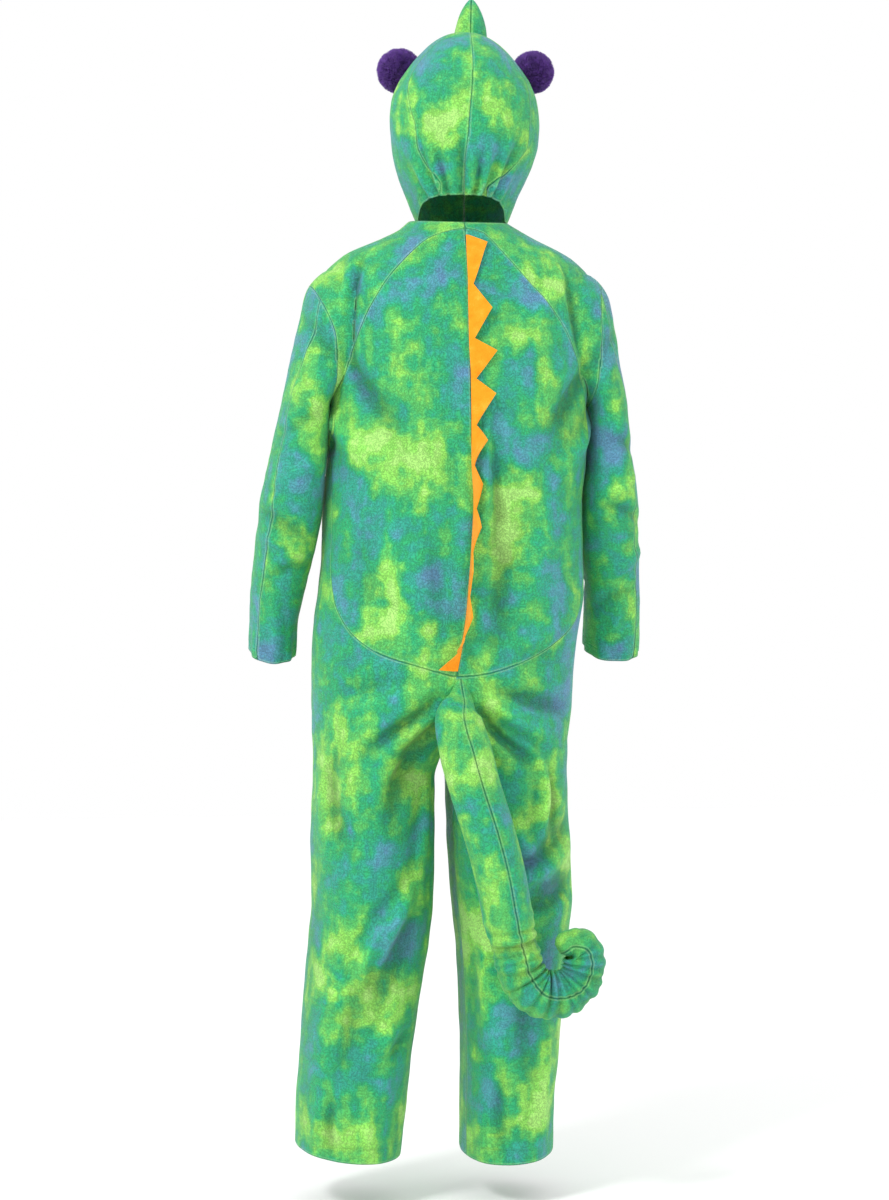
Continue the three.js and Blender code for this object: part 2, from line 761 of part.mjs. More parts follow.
function makeTail(suitSkin) {
  const curve = tailPath();
  const gatherStart = 7 / (tailRows.length - 1);
  const stations = [...steps(0, gatherStart, 12), ...steps(gatherStart, 1, tailGathers * 4), 1];
  const radii = (t) => {
    const place = t * (tailRows.length - 1);
    const i = Math.min(Math.floor(place), tailRows.length - 2);
    return THREE.MathUtils.lerp(tailRows[i].radius, tailRows[i + 1].radius, place - i);
  };
  const seamSide = new THREE.Vector3(-Math.sin(tailSeamTurn), Math.cos(tailSeamTurn), 0);
  const halfRings = (side) =>
    stations.map((t) => {
      const middle = curve.getPoint(t);
      const along = curve.getTangent(t);
      const away = seamSide.clone().addScaledVector(along, -seamSide.dot(along)).normalize();
      const outer = along.clone().cross(away).multiplyScalar(side);
      const gathered = THREE.MathUtils.clamp((t - gatherStart) / 0.06, 0, 1);
      const wave = Math.cos((2 * Math.PI * tailGathers * (t - gatherStart)) / (1 - gatherStart));
      const ring = [];
      for (let k = 0; k <= tailSides / 2; k += 1) {
        const turn = (k / tailSides) * 2 * Math.PI - Math.PI / 2;
        const nearSeam = Math.abs(Math.sin(turn));
        const weight = side > 0 ? 0.3 + 0.42 * nearSeam : 1 - 0.28 * nearSeam;
        const radius = radii(t) * (1 + tailGatherDepth * wave * gathered * weight);
        const point = middle.clone();
        point.addScaledVector(outer, radius * Math.cos(turn) + seam / 2);
        point.addScaledVector(away, radius * Math.sin(turn));
        ring.push(point);
      }
      return ring;
    });
  return [
    pieceOf("tail_outer", loft(halfRings(1)).subtract(suitSkin), plush(plushLight)),
    pieceOf("tail_inner", loft(halfRings(-1)).subtract(suitSkin), plush(plushMid)),
  ];
}

// Hood with its horn and balls
function hoodRings() {
  const levels = [-6, 12, 32, 58, 90, 126, 165, 202, 232, 256, 274, 286];
  return levels.map((z) => hoodRing(z));
}

function faceOutline() {
  return steps(0, 2 * Math.PI, 28).map((turn) => [
    faceHalfWidth * Math.cos(turn),
    faceZ + faceHalfHeight * Math.sin(turn),
  ]);
}

function makeHood(rings, neckSkin) {
  const outer = loft(rings);
  const inner = loft(moved(rings, wall, overrun, -wall));
  const face = prism(faceOutline(), -far, -30, seenFromHoodBack);
  const cloth = outer.subtract(inner).subtract(face).subtract(neckSkin);
  const leftSideOutline = [...hoodCentreSeam, [far, 400], [far, -200]];
  const [left, right] = cut(cloth, leftSideOutline, -far, far, seenFromHoodBack);
  const [leftBack, leftSide] = cut(left, hoodBackSeam, 0, far, seenFromHoodBack);
  const [rightBack, rightSide] = cut(right, hoodBackSeam, 0, far, seenFromHoodBack);
  return [
    pieceOf("hood_back_left", leftBack, plush(plushMid)),
    pieceOf("hood_back_right", rightBack, plush(plushMid)),
    pieceOf("hood_side_left", leftSide, plush(plushLight)),
    pieceOf("hood_side_right", rightSide, plush(plushLight)),
  ];
}

function makeHorn(hoodSkin) {
  const turns = steps(0, 2 * Math.PI, 14);
  const height = hornTipZ - hornFootZ;
  const rings = [...steps(0, 0.9, 5), 0.9, 0.97].map((t) => {
    const radius = hornRadius * Math.pow(1 - Math.pow(t, 2.2), 0.72) + 1;
    const middle = hornAcross + hornLean * t;
    return turns.map((turn) =>
      hoodPoint(
        middle + radius * Math.cos(turn),
        hornForward + radius * Math.sin(turn),
        hornFootZ + height * t
      )
    );
  });
  const horn = loft(rings).subtract(hoodSkin);
  const outline = [
    [hornAcross, 200],
    [far, 200],
    [far, 500],
    [hornAcross + hornLean * 2, 500],
    [hornAcross + hornLean, hornTipZ],
    [hornAcross, hornFootZ],
  ];
  const [left, right] = cut(horn, outline, -far, far, seenFromHoodBack);
  return [pieceOf("horn_left", left, plush(plushLight)), pieceOf("horn_right", right, plush(plushDark))];
}

function makeBall(name, u, z, radius, hoodSkin) {
  const turns = steps(0, 2 * Math.PI, 16);
  const rings = steps(-80, 80, 8).concat(80).map((degrees) => {
    const tilt = THREE.MathUtils.degToRad(degrees);
    return turns.map((turn, j) => {
      const tuft = 1 + 0.035 * Math.cos(11 * turn) * Math.cos(6 * tilt) * (j % 2 === 0 ? 1 : -1);
      const reach = radius * Math.cos(tilt) * tuft;
      return hoodPoint(
        u + reach * Math.cos(turn),
        ballForward + reach * Math.sin(turn),
        z + radius * Math.sin(tilt)
      );
    });
  });
  return pieceOf(name, loft(rings).subtract(hoodSkin), plush(purple));
}

const rings = suitRings();
const leftSkin = halfSolid(rings.left, rings.leftSleeve, -seam, seam);
const rightSkin = halfSolid(rings.right, rings.rightSleeve, -seam, seam);
const suitSkin = leftSkin.add(rightSkin);
const hood = hoodRings();
const hoodSkin = loft(moved(hood, -seam, seam, seam));

const costume = new THREE.Group();
costume.add(...makeSuit(rings));
costume.add(makeCrest());
costume.add(...makeTail(suitSkin));
costume.add(...makeHood(hood, suitSkin));
costume.add(...makeHorn(hoodSkin));
costume.add(makeBall("eye_left", 100, 238, 36, hoodSkin));
costume.add(makeBall("eye_right", -106, 236, 34, hoodSkin));

export default costume;
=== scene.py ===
import math

import bmesh
import bpy
import numpy as np
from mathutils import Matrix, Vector, kdtree


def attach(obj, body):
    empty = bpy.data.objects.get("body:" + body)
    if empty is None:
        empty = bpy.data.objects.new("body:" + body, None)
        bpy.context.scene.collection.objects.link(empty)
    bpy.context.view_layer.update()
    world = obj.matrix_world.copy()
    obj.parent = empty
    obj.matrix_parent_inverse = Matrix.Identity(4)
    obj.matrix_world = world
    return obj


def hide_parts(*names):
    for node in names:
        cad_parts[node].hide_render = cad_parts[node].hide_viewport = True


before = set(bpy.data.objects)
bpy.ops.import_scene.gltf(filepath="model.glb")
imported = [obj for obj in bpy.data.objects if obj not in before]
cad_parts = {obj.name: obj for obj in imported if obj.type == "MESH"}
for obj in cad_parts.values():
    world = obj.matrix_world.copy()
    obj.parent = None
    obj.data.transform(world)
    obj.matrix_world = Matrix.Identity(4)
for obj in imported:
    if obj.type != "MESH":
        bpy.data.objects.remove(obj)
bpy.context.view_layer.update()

# A chameleon costume seen from behind, worn: plush suit, felt crest, stuffed tail, hood, horn and balls.
# Lengths are millimetres until a mesh is made. +X is the wearer's left, +Y the back, +Z up.
mm = 0.001
cloth = {"wall": 2.0, "seam": 0.06, "overrun": 14.0, "grid": 5.0}
far = 700.0  # cutters reach this far past the suit
sideNames = {1: "left", -1: "right"}
print("frame loaded:", len(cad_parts), "nodes")


def named(names, rows):
    return [dict(zip(names, row)) for row in rows]


def makeTable(names, rows):
    ordered = sorted(rows, key=lambda row: row[names.index("z")])
    return {name: np.array([row[i] for row in ordered], float) for i, name in enumerate(names)}


def hermite(t, start, startSlope, end, endSlope):
    # the smooth curve between two points with these slopes, at the shares t
    return (
        (2 * t**3 - 3 * t**2 + 1) * start + (t**3 - 2 * t**2 + t) * startSlope
        + (3 * t**2 - 2 * t**3) * end + (t**3 - t**2) * endSlope
    )


def tableAt(table, z):
    # every column at the heights z, on a smooth curve through the rows
    heights = table["z"]
    spans = np.diff(heights)
    i = np.clip(np.searchsorted(heights, z), 1, len(heights) - 1)
    span = spans[i - 1]
    t = np.clip((z - heights[i - 1]) / span, 0, 1)
    found = {"z": z}
    for name, column in table.items():
        if name == "z":
            continue
        rise = np.diff(column) / spans
        product = rise[:-1] * rise[1:]
        total = rise[:-1] + rise[1:]
        turned = np.where(product > 0, 2 * product / np.where(total == 0, 1, total), 0)
        slope = np.concatenate([rise[:1], turned, rise[-1:]])
        found[name] = hermite(t, column[i - 1], slope[i - 1] * span, column[i], slope[i] * span)
    return found


def bend(value, power):
    # power 2 gives a round outline, more a squarer one
    return np.sign(value) * np.abs(value) ** (2 / power)


def smoothStep(low, high, value):
    t = np.clip((value - low) / (high - low), 0, 1)
    return t * t * (3 - 2 * t)


def evenColumns(points, count, closed=False):
    # each row of points (levels, many, 3) laid out again as count evenly spaced points, with the way along it
    step = np.linalg.norm(np.diff(points, axis=1), axis=2)
    way = np.concatenate([np.zeros((len(points), 1)), np.cumsum(step, axis=1)], axis=1)
    made = np.empty((len(points), count, 3))
    ways = np.empty((len(points), count))
    for i, row in enumerate(points):
        ways[i] = np.linspace(0, way[i, -1], count + (1 if closed else 0))[:count]
        for axis in range(3):
            made[i, :, axis] = np.interp(ways[i], way[i], row[:, axis])
    return made, ways, way[:, -1]


def lengthened(points):
    # one more point at each end of a line, straight on
    return np.concatenate([[2 * points[0] - points[1]], points, [2 * points[-1] - points[-2]]])


def unit(vectors):
    return vectors / np.linalg.norm(vectors, axis=-1, keepdims=True)


def outwardOf(rings):
    # the direction square to the surface at every point of closed rings
    up = np.gradient(rings, axis=0)
    across = np.roll(rings, -1, axis=1) - np.roll(rings, 1, axis=1)
    out = np.cross(across, up)
    out /= np.maximum(np.linalg.norm(out, axis=2, keepdims=True), 1e-9)
    middle = rings.mean(axis=1, keepdims=True)
    turning = np.sign(np.sum(out * (rings - middle)))
    return out * turning


def moved(rings, distance, bottomStep, topStep):
    # rings moved square to their surface, inwards for a positive distance, and the ends down and up
    made = rings - outwardOf(rings) * distance
    made[0, :, 2] -= bottomStep
    made[-1, :, 2] += topStep
    return made


# Meshes and cuts
def meshFrom(name, points, faces):
    mesh = bpy.data.meshes.new(name)
    mesh.from_pydata((np.asarray(points) * mm).tolist(), [], faces)
    mesh.update()
    return mesh


def solidFrom(name, points, groups):
    # closed mesh from arrays of faces, all turned outwards
    corners = points - points.mean(axis=0)
    volume = 0.0
    for group in groups:
        for k in range(1, group.shape[1] - 1):
            first, second, third = (corners[group[:, i]] for i in (0, k, k + 1))
            volume += np.sum(first * np.cross(second, third))
    faces = [face for group in groups for face in group.tolist()]
    if volume < 0:
        faces = [face[::-1] for face in faces]
    return meshFrom(name, points, faces)


def loft(name, rings):
    # closed solid through a row of rings, with a flat fan at each end
    levels, columns, _ = rings.shape
    points = np.concatenate([rings.reshape(-1, 3), rings[:1].mean(axis=1), rings[-1:].mean(axis=1)])
    low, column = np.meshgrid(np.arange(levels - 1) * columns, np.arange(columns), indexing="ij")
    after, high = (column + 1) % columns, low + columns
    quads = np.stack([low + column, low + after, high + after, high + column], axis=2).reshape(-1, 4)
    column, after, start = column[0], after[0], (levels - 1) * columns
    base = np.full(columns, levels * columns)
    fans = [
        np.stack([base, after, column], axis=1),
        np.stack([base + 1, start + column, start + after], axis=1),
    ]
    return solidFrom(name, points, [quads] + fans)


def prism(name, outline, start, end, place):
    # solid of a flat outline drawn out along the third direction
    outline = np.asarray(outline, float)
    count = len(outline)
    across, up = outline[:, 0], outline[:, 1]
    points = np.concatenate([place(across, up, np.full(count, level)) for level in (start, end)])
    low = np.arange(count)
    after = (low + 1) % count
    sides = np.stack([low, after, count + after, count + low], axis=1)
    return solidFrom(name, points, [sides, np.stack([low[::-1], count + low])])


def grown(outline, distance):
    # the outline moved outwards
    outline = np.asarray(outline, float)
    after = np.roll(outline, -1, axis=0)
    area = np.sum(outline[:, 0] * after[:, 1] - after[:, 0] * outline[:, 1])
    along = after - outline
    square = unit(np.stack([along[:, 1], -along[:, 0]], axis=1))
    out = unit(square + np.roll(square, 1, axis=0))
    reach = np.sign(area) * distance / np.maximum(np.sum(out * square, axis=1, keepdims=True), 0.5)
    return outline + out * reach


def rounded(points, parts, closed=False):
    # a smooth curve through the points of a seam
    points = np.asarray(points, float)
    padded = np.concatenate([points[-1:], points, points[:2]]) if closed else lengthened(points)
    made = []
    for a, b, c, d in zip(padded, padded[1:], padded[2:], padded[3:]):
        for t in np.arange(parts) / parts:
            square, cube = 2 * a - 5 * b + 4 * c - d, 3 * b - a - 3 * c + d
            made.append(0.5 * (2 * b + (c - a) * t + square * t**2 + cube * t**3))
    return np.array(made if closed else made + [points[-1]])


def combined(mesh, other, operation):
    first = bpy.data.objects.new("first", mesh)
    second = bpy.data.objects.new("second", other)
    for item in (first, second):
        bpy.context.scene.collection.objects.link(item)
    change = first.modifiers.new("change", "BOOLEAN")
    change.operation = operation
    change.solver = "MANIFOLD"
    change.object = second
    graph = bpy.context.evaluated_depsgraph_get()
    made = bpy.data.meshes.new_from_object(first.evaluated_get(graph))
    for item in (first, second):
        bpy.data.objects.remove(item)
    return made


def cut(mesh, outline, start, end, place):
    # the two sides of a cut, with the seam's space between them
    inside = combined(mesh, prism("inside", outline, start, end, place), "INTERSECT")
    wider = prism("outside", grown(outline, cloth["seam"]), start, end, place)
    return inside, combined(mesh, wider, "DIFFERENCE")


def meshArrays(mesh):
    points = np.empty(len(mesh.vertices) * 3)
    mesh.vertices.foreach_get("co", points)
    edges = np.empty(len(mesh.edges) * 2, np.int64)
    mesh.edges.foreach_get("vertices", edges)
    return points.reshape(-1, 3), edges.reshape(-1, 2)


def largestPart(mesh):
    # the main body of a cut piece, without crumbs left where two surfaces cross
    points, edges = meshArrays(mesh)
    label = np.arange(len(points))
    while True:
        low = np.minimum(label[edges[:, 0]], label[edges[:, 1]])
        lower = label.copy()
        np.minimum.at(lower, edges[:, 0], low)
        np.minimum.at(lower, edges[:, 1], low)
        lower = lower[lower]
        if (lower == label).all():
            break
        label = lower
    values, counts = np.unique(label, return_counts=True)
    if len(values) == 1:
        return mesh
    keep = label == values[np.argmax(counts)]
    renumber = np.cumsum(keep) - 1
    faces = [[int(renumber[v]) for v in face.vertices] for face in mesh.polygons if keep[face.vertices[0]]]
    made = bpy.data.meshes.new(mesh.name)
    made.from_pydata(points[keep].tolist(), [], faces)
    made.update()
    return made


def treeOf(points):
    tree = kdtree.KDTree(len(points))
    for i, point in enumerate(points):
        tree.insert(point, i)
    tree.balance()
    return tree


def edgeDistance(mesh, degrees=82, spacing=0.0012):
    # how far each vertex lies from the nearest cut edge, where the surface turns by more than the degrees
    shape = bmesh.new()
    shape.from_mesh(mesh)
    samples = []
    for edge in shape.edges:
        if edge.calc_face_angle(0) > math.radians(degrees):
            start, end = (np.array(vertex.co) for vertex in edge.verts)
            parts = max(1, int(np.linalg.norm(end - start) / spacing))
            samples.append(start + (end - start) * (np.arange(parts + 1) / parts)[:, None])
    shape.free()
    tree = treeOf(np.concatenate(samples))
    points, _ = meshArrays(mesh)
    return np.array([tree.find(point)[2] for point in points])


def meshArea(mesh):
    return sum(face.area for face in mesh.polygons)


def creaseFinder(surfaces):
    # tells how far any point stands above or below the unfolded cloth
    points = np.concatenate([rings.reshape(-1, 3) for rings, _ in surfaces]) * mm
    heights = np.concatenate([height.ravel() for _, height in surfaces]) * mm
    tree = treeOf(points)
    return lambda places: np.array([heights[tree.find(place)[1]] for place in places])


def addAttributes(mesh, **columns):
    # values in metres for the shaders, one number or one for each vertex
    for name, values in columns.items():
        attribute = mesh.attributes.new(name, "FLOAT", "POINT")
        attribute.data.foreach_set("value", np.full(len(mesh.vertices), values, np.float32))


def smoothObject(name, mesh, material, degrees=66):
    mesh.name = name
    mesh.materials.clear()
    mesh.materials.append(material)
    mesh.shade_smooth()
    mesh.set_sharp_from_angle(angle=math.radians(degrees))
    made = bpy.data.objects.new(name, mesh)
    bpy.context.scene.collection.objects.link(made)
    return made


def fitted(piece, slot, *nodes):
    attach(piece, "root")
    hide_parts(*nodes)


# Shaders
def paint(text):
    # a colour written as in a paint chart, in the renderer's own linear values
    values = [int(text[i:i + 2], 16) / 255 for i in (1, 3, 5)]
    return tuple(v / 12.92 if v <= 0.04045 else ((v + 0.055) / 1.055) ** 2.4 for v in values) + (1.0,)


class Wire:
    # a shader socket that works in plain expressions
    def __init__(self, tree, socket):
        self.tree = tree
        self.socket = socket

    def math(self, operation, *values):
        node = self.tree.nodes.new("ShaderNodeMath")
        node.operation = operation
        for socket, value in zip(node.inputs, values):
            join(self.tree, socket, value)
        return Wire(self.tree, node.outputs[0])

    def __add__(self, other):
        return self.math("ADD", self, other)

    def __radd__(self, other):
        return self.math("ADD", other, self)

    def __sub__(self, other):
        return self.math("SUBTRACT", self, other)

    def __rsub__(self, other):
        return self.math("SUBTRACT", other, self)

    def __mul__(self, other):
        return self.math("MULTIPLY", self, other)

    def __rmul__(self, other):
        return self.math("MULTIPLY", other, self)


def join(tree, socket, value):
    if isinstance(value, Wire):
        tree.links.new(value.socket, socket)
    else:
        socket.default_value = paint(value) if isinstance(value, str) else value


class Finish:
    # one material, with a Principled shader at its end
    def __init__(self, name, constants):
        self.material = bpy.data.materials.new(name)
        self.material.use_nodes = True
        self.tree = self.material.node_tree
        self.shader = self.tree.nodes["Principled BSDF"]
        for socket, value in constants.items():
            self.feed(socket, value)

    def node(self, kind, settings, sockets, output=0):
        made = self.tree.nodes.new(kind)
        for key, value in settings.items():
            if key == "stops":
                while len(made.color_ramp.elements) < len(value):
                    made.color_ramp.elements.new(1.0)
                for element, (place, colour) in zip(made.color_ramp.elements, value):
                    element.position = place
                    element.color = paint(colour)
            elif key == "interpolation":
                made.color_ramp.interpolation = value
            else:
                setattr(made, key, value)
        for key, value in sockets.items():
            join(self.tree, made.inputs[key], value)
        return Wire(self.tree, made.outputs[output])

    def vector(self, operation, first, second, output=0):
        return self.node("ShaderNodeVectorMath", {"operation": operation}, {0: first, 1: second}, output)

    def coordinates(self, shift=(0, 0, 0), stretch=(1, 1, 1)):
        place = self.node("ShaderNodeTexCoord", {}, {}, "Object")
        return self.node("ShaderNodeMapping", {}, {"Vector": place, "Location": shift, "Scale": stretch})

    def noise(self, place, scale, detail=2.0, roughness=0.5):
        sockets = {"Vector": place, "Scale": scale, "Detail": detail, "Roughness": roughness}
        return self.node("ShaderNodeTexNoise", {}, sockets, "Fac")

    def ramp(self, value, stops):
        settings = {"stops": stops, "interpolation": "EASE"}
        return self.node("ShaderNodeValToRGB", settings, {"Fac": value}, "Color")

    def between(self, value, low, high, toLow=0.0, toHigh=1.0):
        settings = {"interpolation_type": "SMOOTHSTEP"}
        sockets = {"Value": value, "From Min": low, "From Max": high, "To Min": toLow, "To Max": toHigh}
        return self.node("ShaderNodeMapRange", settings, sockets)

    def blend(self, first, second, factor, kind="MIX"):
        settings = {"data_type": "RGBA", "blend_type": kind}
        return self.node("ShaderNodeMix", settings, {0: factor, 6: first, 7: second}, 2)

    def attribute(self, name):
        return self.node("ShaderNodeAttribute", {"attribute_name": name}, {}, "Fac")

    def feed(self, socket, value):
        join(self.tree, self.shader.inputs[socket], value)

    def bump(self, height, strength):
        # height in millimetres
        sockets = {"Height": height, "Distance": mm, "Strength": strength}
        self.feed("Normal", self.node("ShaderNodeBump", {}, sockets, "Normal"))


plush = {
    "surface": {
        "Roughness": 0.62, "Sheen Weight": 0.2, "Sheen Roughness": 0.45, "Sheen Tint": "#d8ffd0",
        "Specular IOR Level": 0.3,
    },
    "stops": [
        (0.0, "#5a93b4"), (0.18, "#4c9fa9"), (0.34, "#2fa58c"), (0.5, "#2bae70"), (0.66, "#56c063"),
        (0.84, "#8cda5c"), (1.0, "#a8e676"),
    ],
    "blotch": 10.5,
    "contrast": 1.9,
    "lightness": -0.03,
    "wander": 0.11,
    # streaks, bands and mottle of the dye: stretch, scale, detail, roughness, amount
    "layers": [
        ((1, 1, 0.3), 42.0, 2.0, 0.5, 0.75),
        ((0.2, 0.2, 1), 60.0, 3.0, 0.6, 0.34),
        ((1, 1, 1), 40.0, 1.5, 0.5, 0.5),
    ],
    "spotDepth": 0.035,  # where the patches lie from front to back, with depth counted at a third
    "nap": 235.0,
    "grain": 420.0,
    "worn": 46.0,
    # the trough and ridge tones are the painted shade and painted highlight of the folds
    "tones": {"least": 0.66, "crackle": 0.29, "grain": 0.55, "worn": 0.3, "trough": 0.56, "ridge": 0.14},
    # painted highlight on the edges beside each seam and painted shade in its groove
    "seamHighlight": "#b9e9a4",
    "seamShade": "#1d5a49",
    "relief": {"crackle": 0.55, "grain": 0.35, "groove": -1.3, "pucker": 1.2, "stitch": -1.0, "worn": 1.6},
}


def plushFinish(name, facts):
    # tie-dyed short plush: base is how light the dye is, spots are placed patches (x, z, radius, strength)
    finish = Finish(name, plush["surface"])
    own = finish.coordinates(facts["shift"])
    wander = finish.node("ShaderNodeTexNoise", {}, {"Vector": own, "Scale": 14.0, "Detail": 3.0}, "Color")
    wander = finish.vector("SUBTRACT", wander, (0.5, 0.5, 0.5))
    wander = finish.vector("MULTIPLY", wander, (plush["wander"],) * 3)
    dye = finish.noise(finish.vector("ADD", own, wander), plush["blotch"], 3.0) - 0.5
    dye = dye * plush["contrast"] + (facts["base"] + plush["lightness"])
    for stretch, scale, detail, roughness, amount in plush["layers"]:
        place = finish.coordinates(facts["shift"], stretch)
        dye = dye + (finish.noise(place, scale, detail, roughness) - 0.5) * amount
    flat = finish.vector("ADD", finish.coordinates((0, 0, 0), (1, 0.35, 1)), wander)
    for x, z, radius, strength in facts["spots"]:
        away = finish.vector("DISTANCE", flat, (x * mm, plush["spotDepth"], z * mm), "Value")
        dye = dye + finish.between(away, radius * mm * 1.25, radius * mm * 0.2, 0.0, strength)
    colour = finish.ramp(dye, plush["stops"])
    # the crackled nap, in colour and in relief: thin uneven creases between small pads, in colour darkened as
    # painted shade
    ripple = finish.noise(own, plush["nap"], 2.0, 0.55) - 0.5
    crackle = finish.between(ripple.math("ABSOLUTE", ripple), 0.0, 0.09)
    grain = finish.noise(own, plush["grain"], 3.0, 0.6)
    worn = finish.noise(own, plush["worn"], 2.0, 0.6)
    # folds: painted shade in a trough and a little painted highlight on a ridge
    tones = plush["tones"]
    crease = finish.attribute("crease")
    fold = finish.between(crease, -0.0075, 0.001, tones["trough"], 1.0)
    fold = fold + finish.between(crease, 0.001, 0.008, 0.0, tones["ridge"])
    # the crackle darkens the thin creases between the pads as painted shade
    shade = tones["least"] + crackle * tones["crackle"] + (grain - 0.5) * tones["grain"]
    shade = (shade + (worn - 0.5) * tones["worn"]) * fold
    colour = finish.blend(colour, shade, 1.0, "MULTIPLY")
    # seams: a crisp dark line of painted shade in the groove, between two soft edges with a painted highlight
    gap = finish.attribute("seamGap")
    groove = 1 - finish.between(gap, 0.0, 0.0013)
    lit = finish.between(gap, 0.0011, 0.0019) * (1 - finish.between(gap, 0.0022, 0.0042))
    colour = finish.blend(colour, plush["seamHighlight"], lit * 0.2)
    colour = finish.blend(colour, plush["seamShade"], groove * 0.6)
    finish.feed("Base Color", colour)
    layers = {
        "crackle": crackle,
        "grain": grain,
        "groove": groove,
        "pucker": finish.noise(own, 110.0, 2.0) * (1 - finish.between(gap, 0.0, 0.011)),
        "stitch": 1 - finish.between(finish.attribute("stitchGap"), 0.0, 0.0022),
        "worn": worn,
    }
    finish.bump(sum(layer * plush["relief"][key] for key, layer in layers.items()), 1.0)
    return finish.material


def clothPiece(part, side, mesh, panels, rise, stitch, creaseOf):
    # a cut panel, with its distances for the shader: rise gives the height above its hem
    name = part + "_" + sideNames[side]
    facts = dict(zip(panelNames, panels[name]))
    mesh = largestPart(mesh)
    points, _ = meshArrays(mesh)
    stitchGap = np.abs(rise(points / mm, side) - stitch) * mm
    # crease is the fold height, which the plush shader turns into painted shade and painted highlight
    addAttributes(mesh, crease=creaseOf(points), seamGap=edgeDistance(mesh), stitchGap=stitchGap)
    piece = smoothObject("cloth_" + name, mesh, plushFinish("plush_" + name, facts))
    fitted(piece, "dyed_plush", name)
    print(name, len(mesh.vertices), "points, cloth", round(meshArea(mesh) / 2, 3), "m2")


def stuffedPiece(name, mesh, facts, seamGap, crease, *nodes):
    noStitch = 0.02  # metres, too far from any stitching to show
    addAttributes(mesh, seamGap=seamGap, stitchGap=noStitch, crease=crease)
    piece = smoothObject("stuffed_" + name, mesh, plushFinish("plush_" + name, facts), 60)
    fitted(piece, "dyed_plush", *nodes)


# Suit: girths of the trunk, legs and sleeves
trunkRows = makeTable(["z", "left", "right", "middle", "back", "front", "power"], [
    (0, 73, -71, 1.5, 70, 80, 2.0),
    (-15, 90, -97, 1.5, 78, 84, 2.0),
    (-27, 113, -119, 1.5, 84, 88, 2.0),
    (-58, 180, -181, 2.5, 96, 92, 2.1),
    (-89, 207, -208, 2.5, 106, 98, 2.2),
    (-119, 212, -211, 3.5, 114, 106, 2.3),
    (-180, 205, -207, 4, 124, 118, 2.4),
    (-245, 195, -201, 2, 129, 128, 2.5),
    (-310, 197, -199, 1, 130, 136, 2.5),
    (-370, 201, -197, 0.5, 129, 143, 2.5),
    (-425, 204, -191, -2.5, 128, 148, 2.5),
    (-500, 205.5, -192, 1, 128, 149, 2.5),
    (-560, 211, -193, 5, 128, 147, 2.5),
    (-600, 217, -188, 8.5, 129, 144, 2.5),
    (-640, 221, -181, 15, 131, 141, 2.5),
    (-690, 222, -176, 24, 131, 137, 2.5),
])
legNames = ["z", "outer", "middle", "inner", "back", "front", "power", "leanX", "leanY"]
legRows = {
    1: [
        (-740, 222, 40, 8, 128, 132, 2.4, 0, 0),
        (-775, 222, 76, 17, 121, 124, 2.3, 0, 0),
        (-811, 221, 112, 27.5, 115, 116, 2.2, 0, 0),
        (-850, 222, 130, 37, 110, 108, 2.1, 0, 0),
        (-945, 226, 131, 38, 105, 102, 2.1, 0, 0),
        (-1037, 225, 131, 40, 103, 100, 2.1, 0, 0),
        (-1098, 231, 137, 46, 100, 99, 2.1, 0, 0),
        (-1190, 238, 147, 60, 98, 97, 2.1, 0, 0),
        (-1282, 244, 156, 73, 97, 96, 2.1, 0, 0),
        (-1343, 248, 162, 80, 96, 95, 2.1, 0.03, -0.02),
        (-1411, 249, 166, 89, 95, 95, 2.1, 0.09, -0.08),
    ],
    -1: [
        (-740, -174, 2, 40, 128, 132, 2.4, 0, 0),
        (-775, -171, -28, 34, 121, 124, 2.3, 0, 0),
        (-811, -169, -62, 25.5, 115, 116, 2.2, 0, 0),
        (-850, -169, -75, 18, 110, 108, 2.1, 0, 0),
        (-945, -172, -77, 15, 105, 102, 2.1, 0, 0),
        (-1037, -176, -81, 9, 103, 100, 2.1, 0, 0),
        (-1098, -171, -80, 3, 100, 99, 2.1, 0, 0),
        (-1190, -163, -81, -3, 98, 97, 2.1, 0, 0),
        (-1282, -157, -80, -6, 97, 96, 2.1, 0, 0),
        (-1343, -150, -77, -6, 96, 95, 2.1, 0.02, -0.04),
        (-1419, -148, -76, -6, 95, 95, 2.1, -0.05, -0.1),
    ],
}
suit = {
    "neckBackDip": 8.0,
    "neckFrontDip": 35.0,
    "neckDepth": 60.0,
    "crotchZ": -811.0,
    "hipZ": -690.0,
    "sideSeamY": 30.0,
    "sideSeamSlope": -0.225,
    "overlap": 20.0,
    "hemStitch": 22.0,
    "outerColumns": 104,
    "innerColumns": 46,
    "foldScale": 1.8,
    # seed, amount, shortest, longest, count, upright
    "waves": [(40, 2.2, 90, 260, 12, 2.0), (51, 0.7, 24, 70, 12, 0.7)],
}


def halfRows(side):
    # rows of one half of the suit, from the hem to the neck
    trunk = trunkRows
    inner = trunk["middle"] - side * suit["overlap"]
    flat = np.zeros(len(inner))
    columns = [trunk["z"], trunk[sideNames[side]], trunk["middle"], inner]
    columns += [trunk["back"], trunk["front"], trunk["power"], flat, flat]
    return makeTable(legNames, legRows[side] + list(zip(*columns)))


def neckDip(z, depth):
    # how far the neck's edge sinks, and less and less of it below
    return depth * np.clip(1 + z / suit["neckDepth"], 0, 1) ** 2


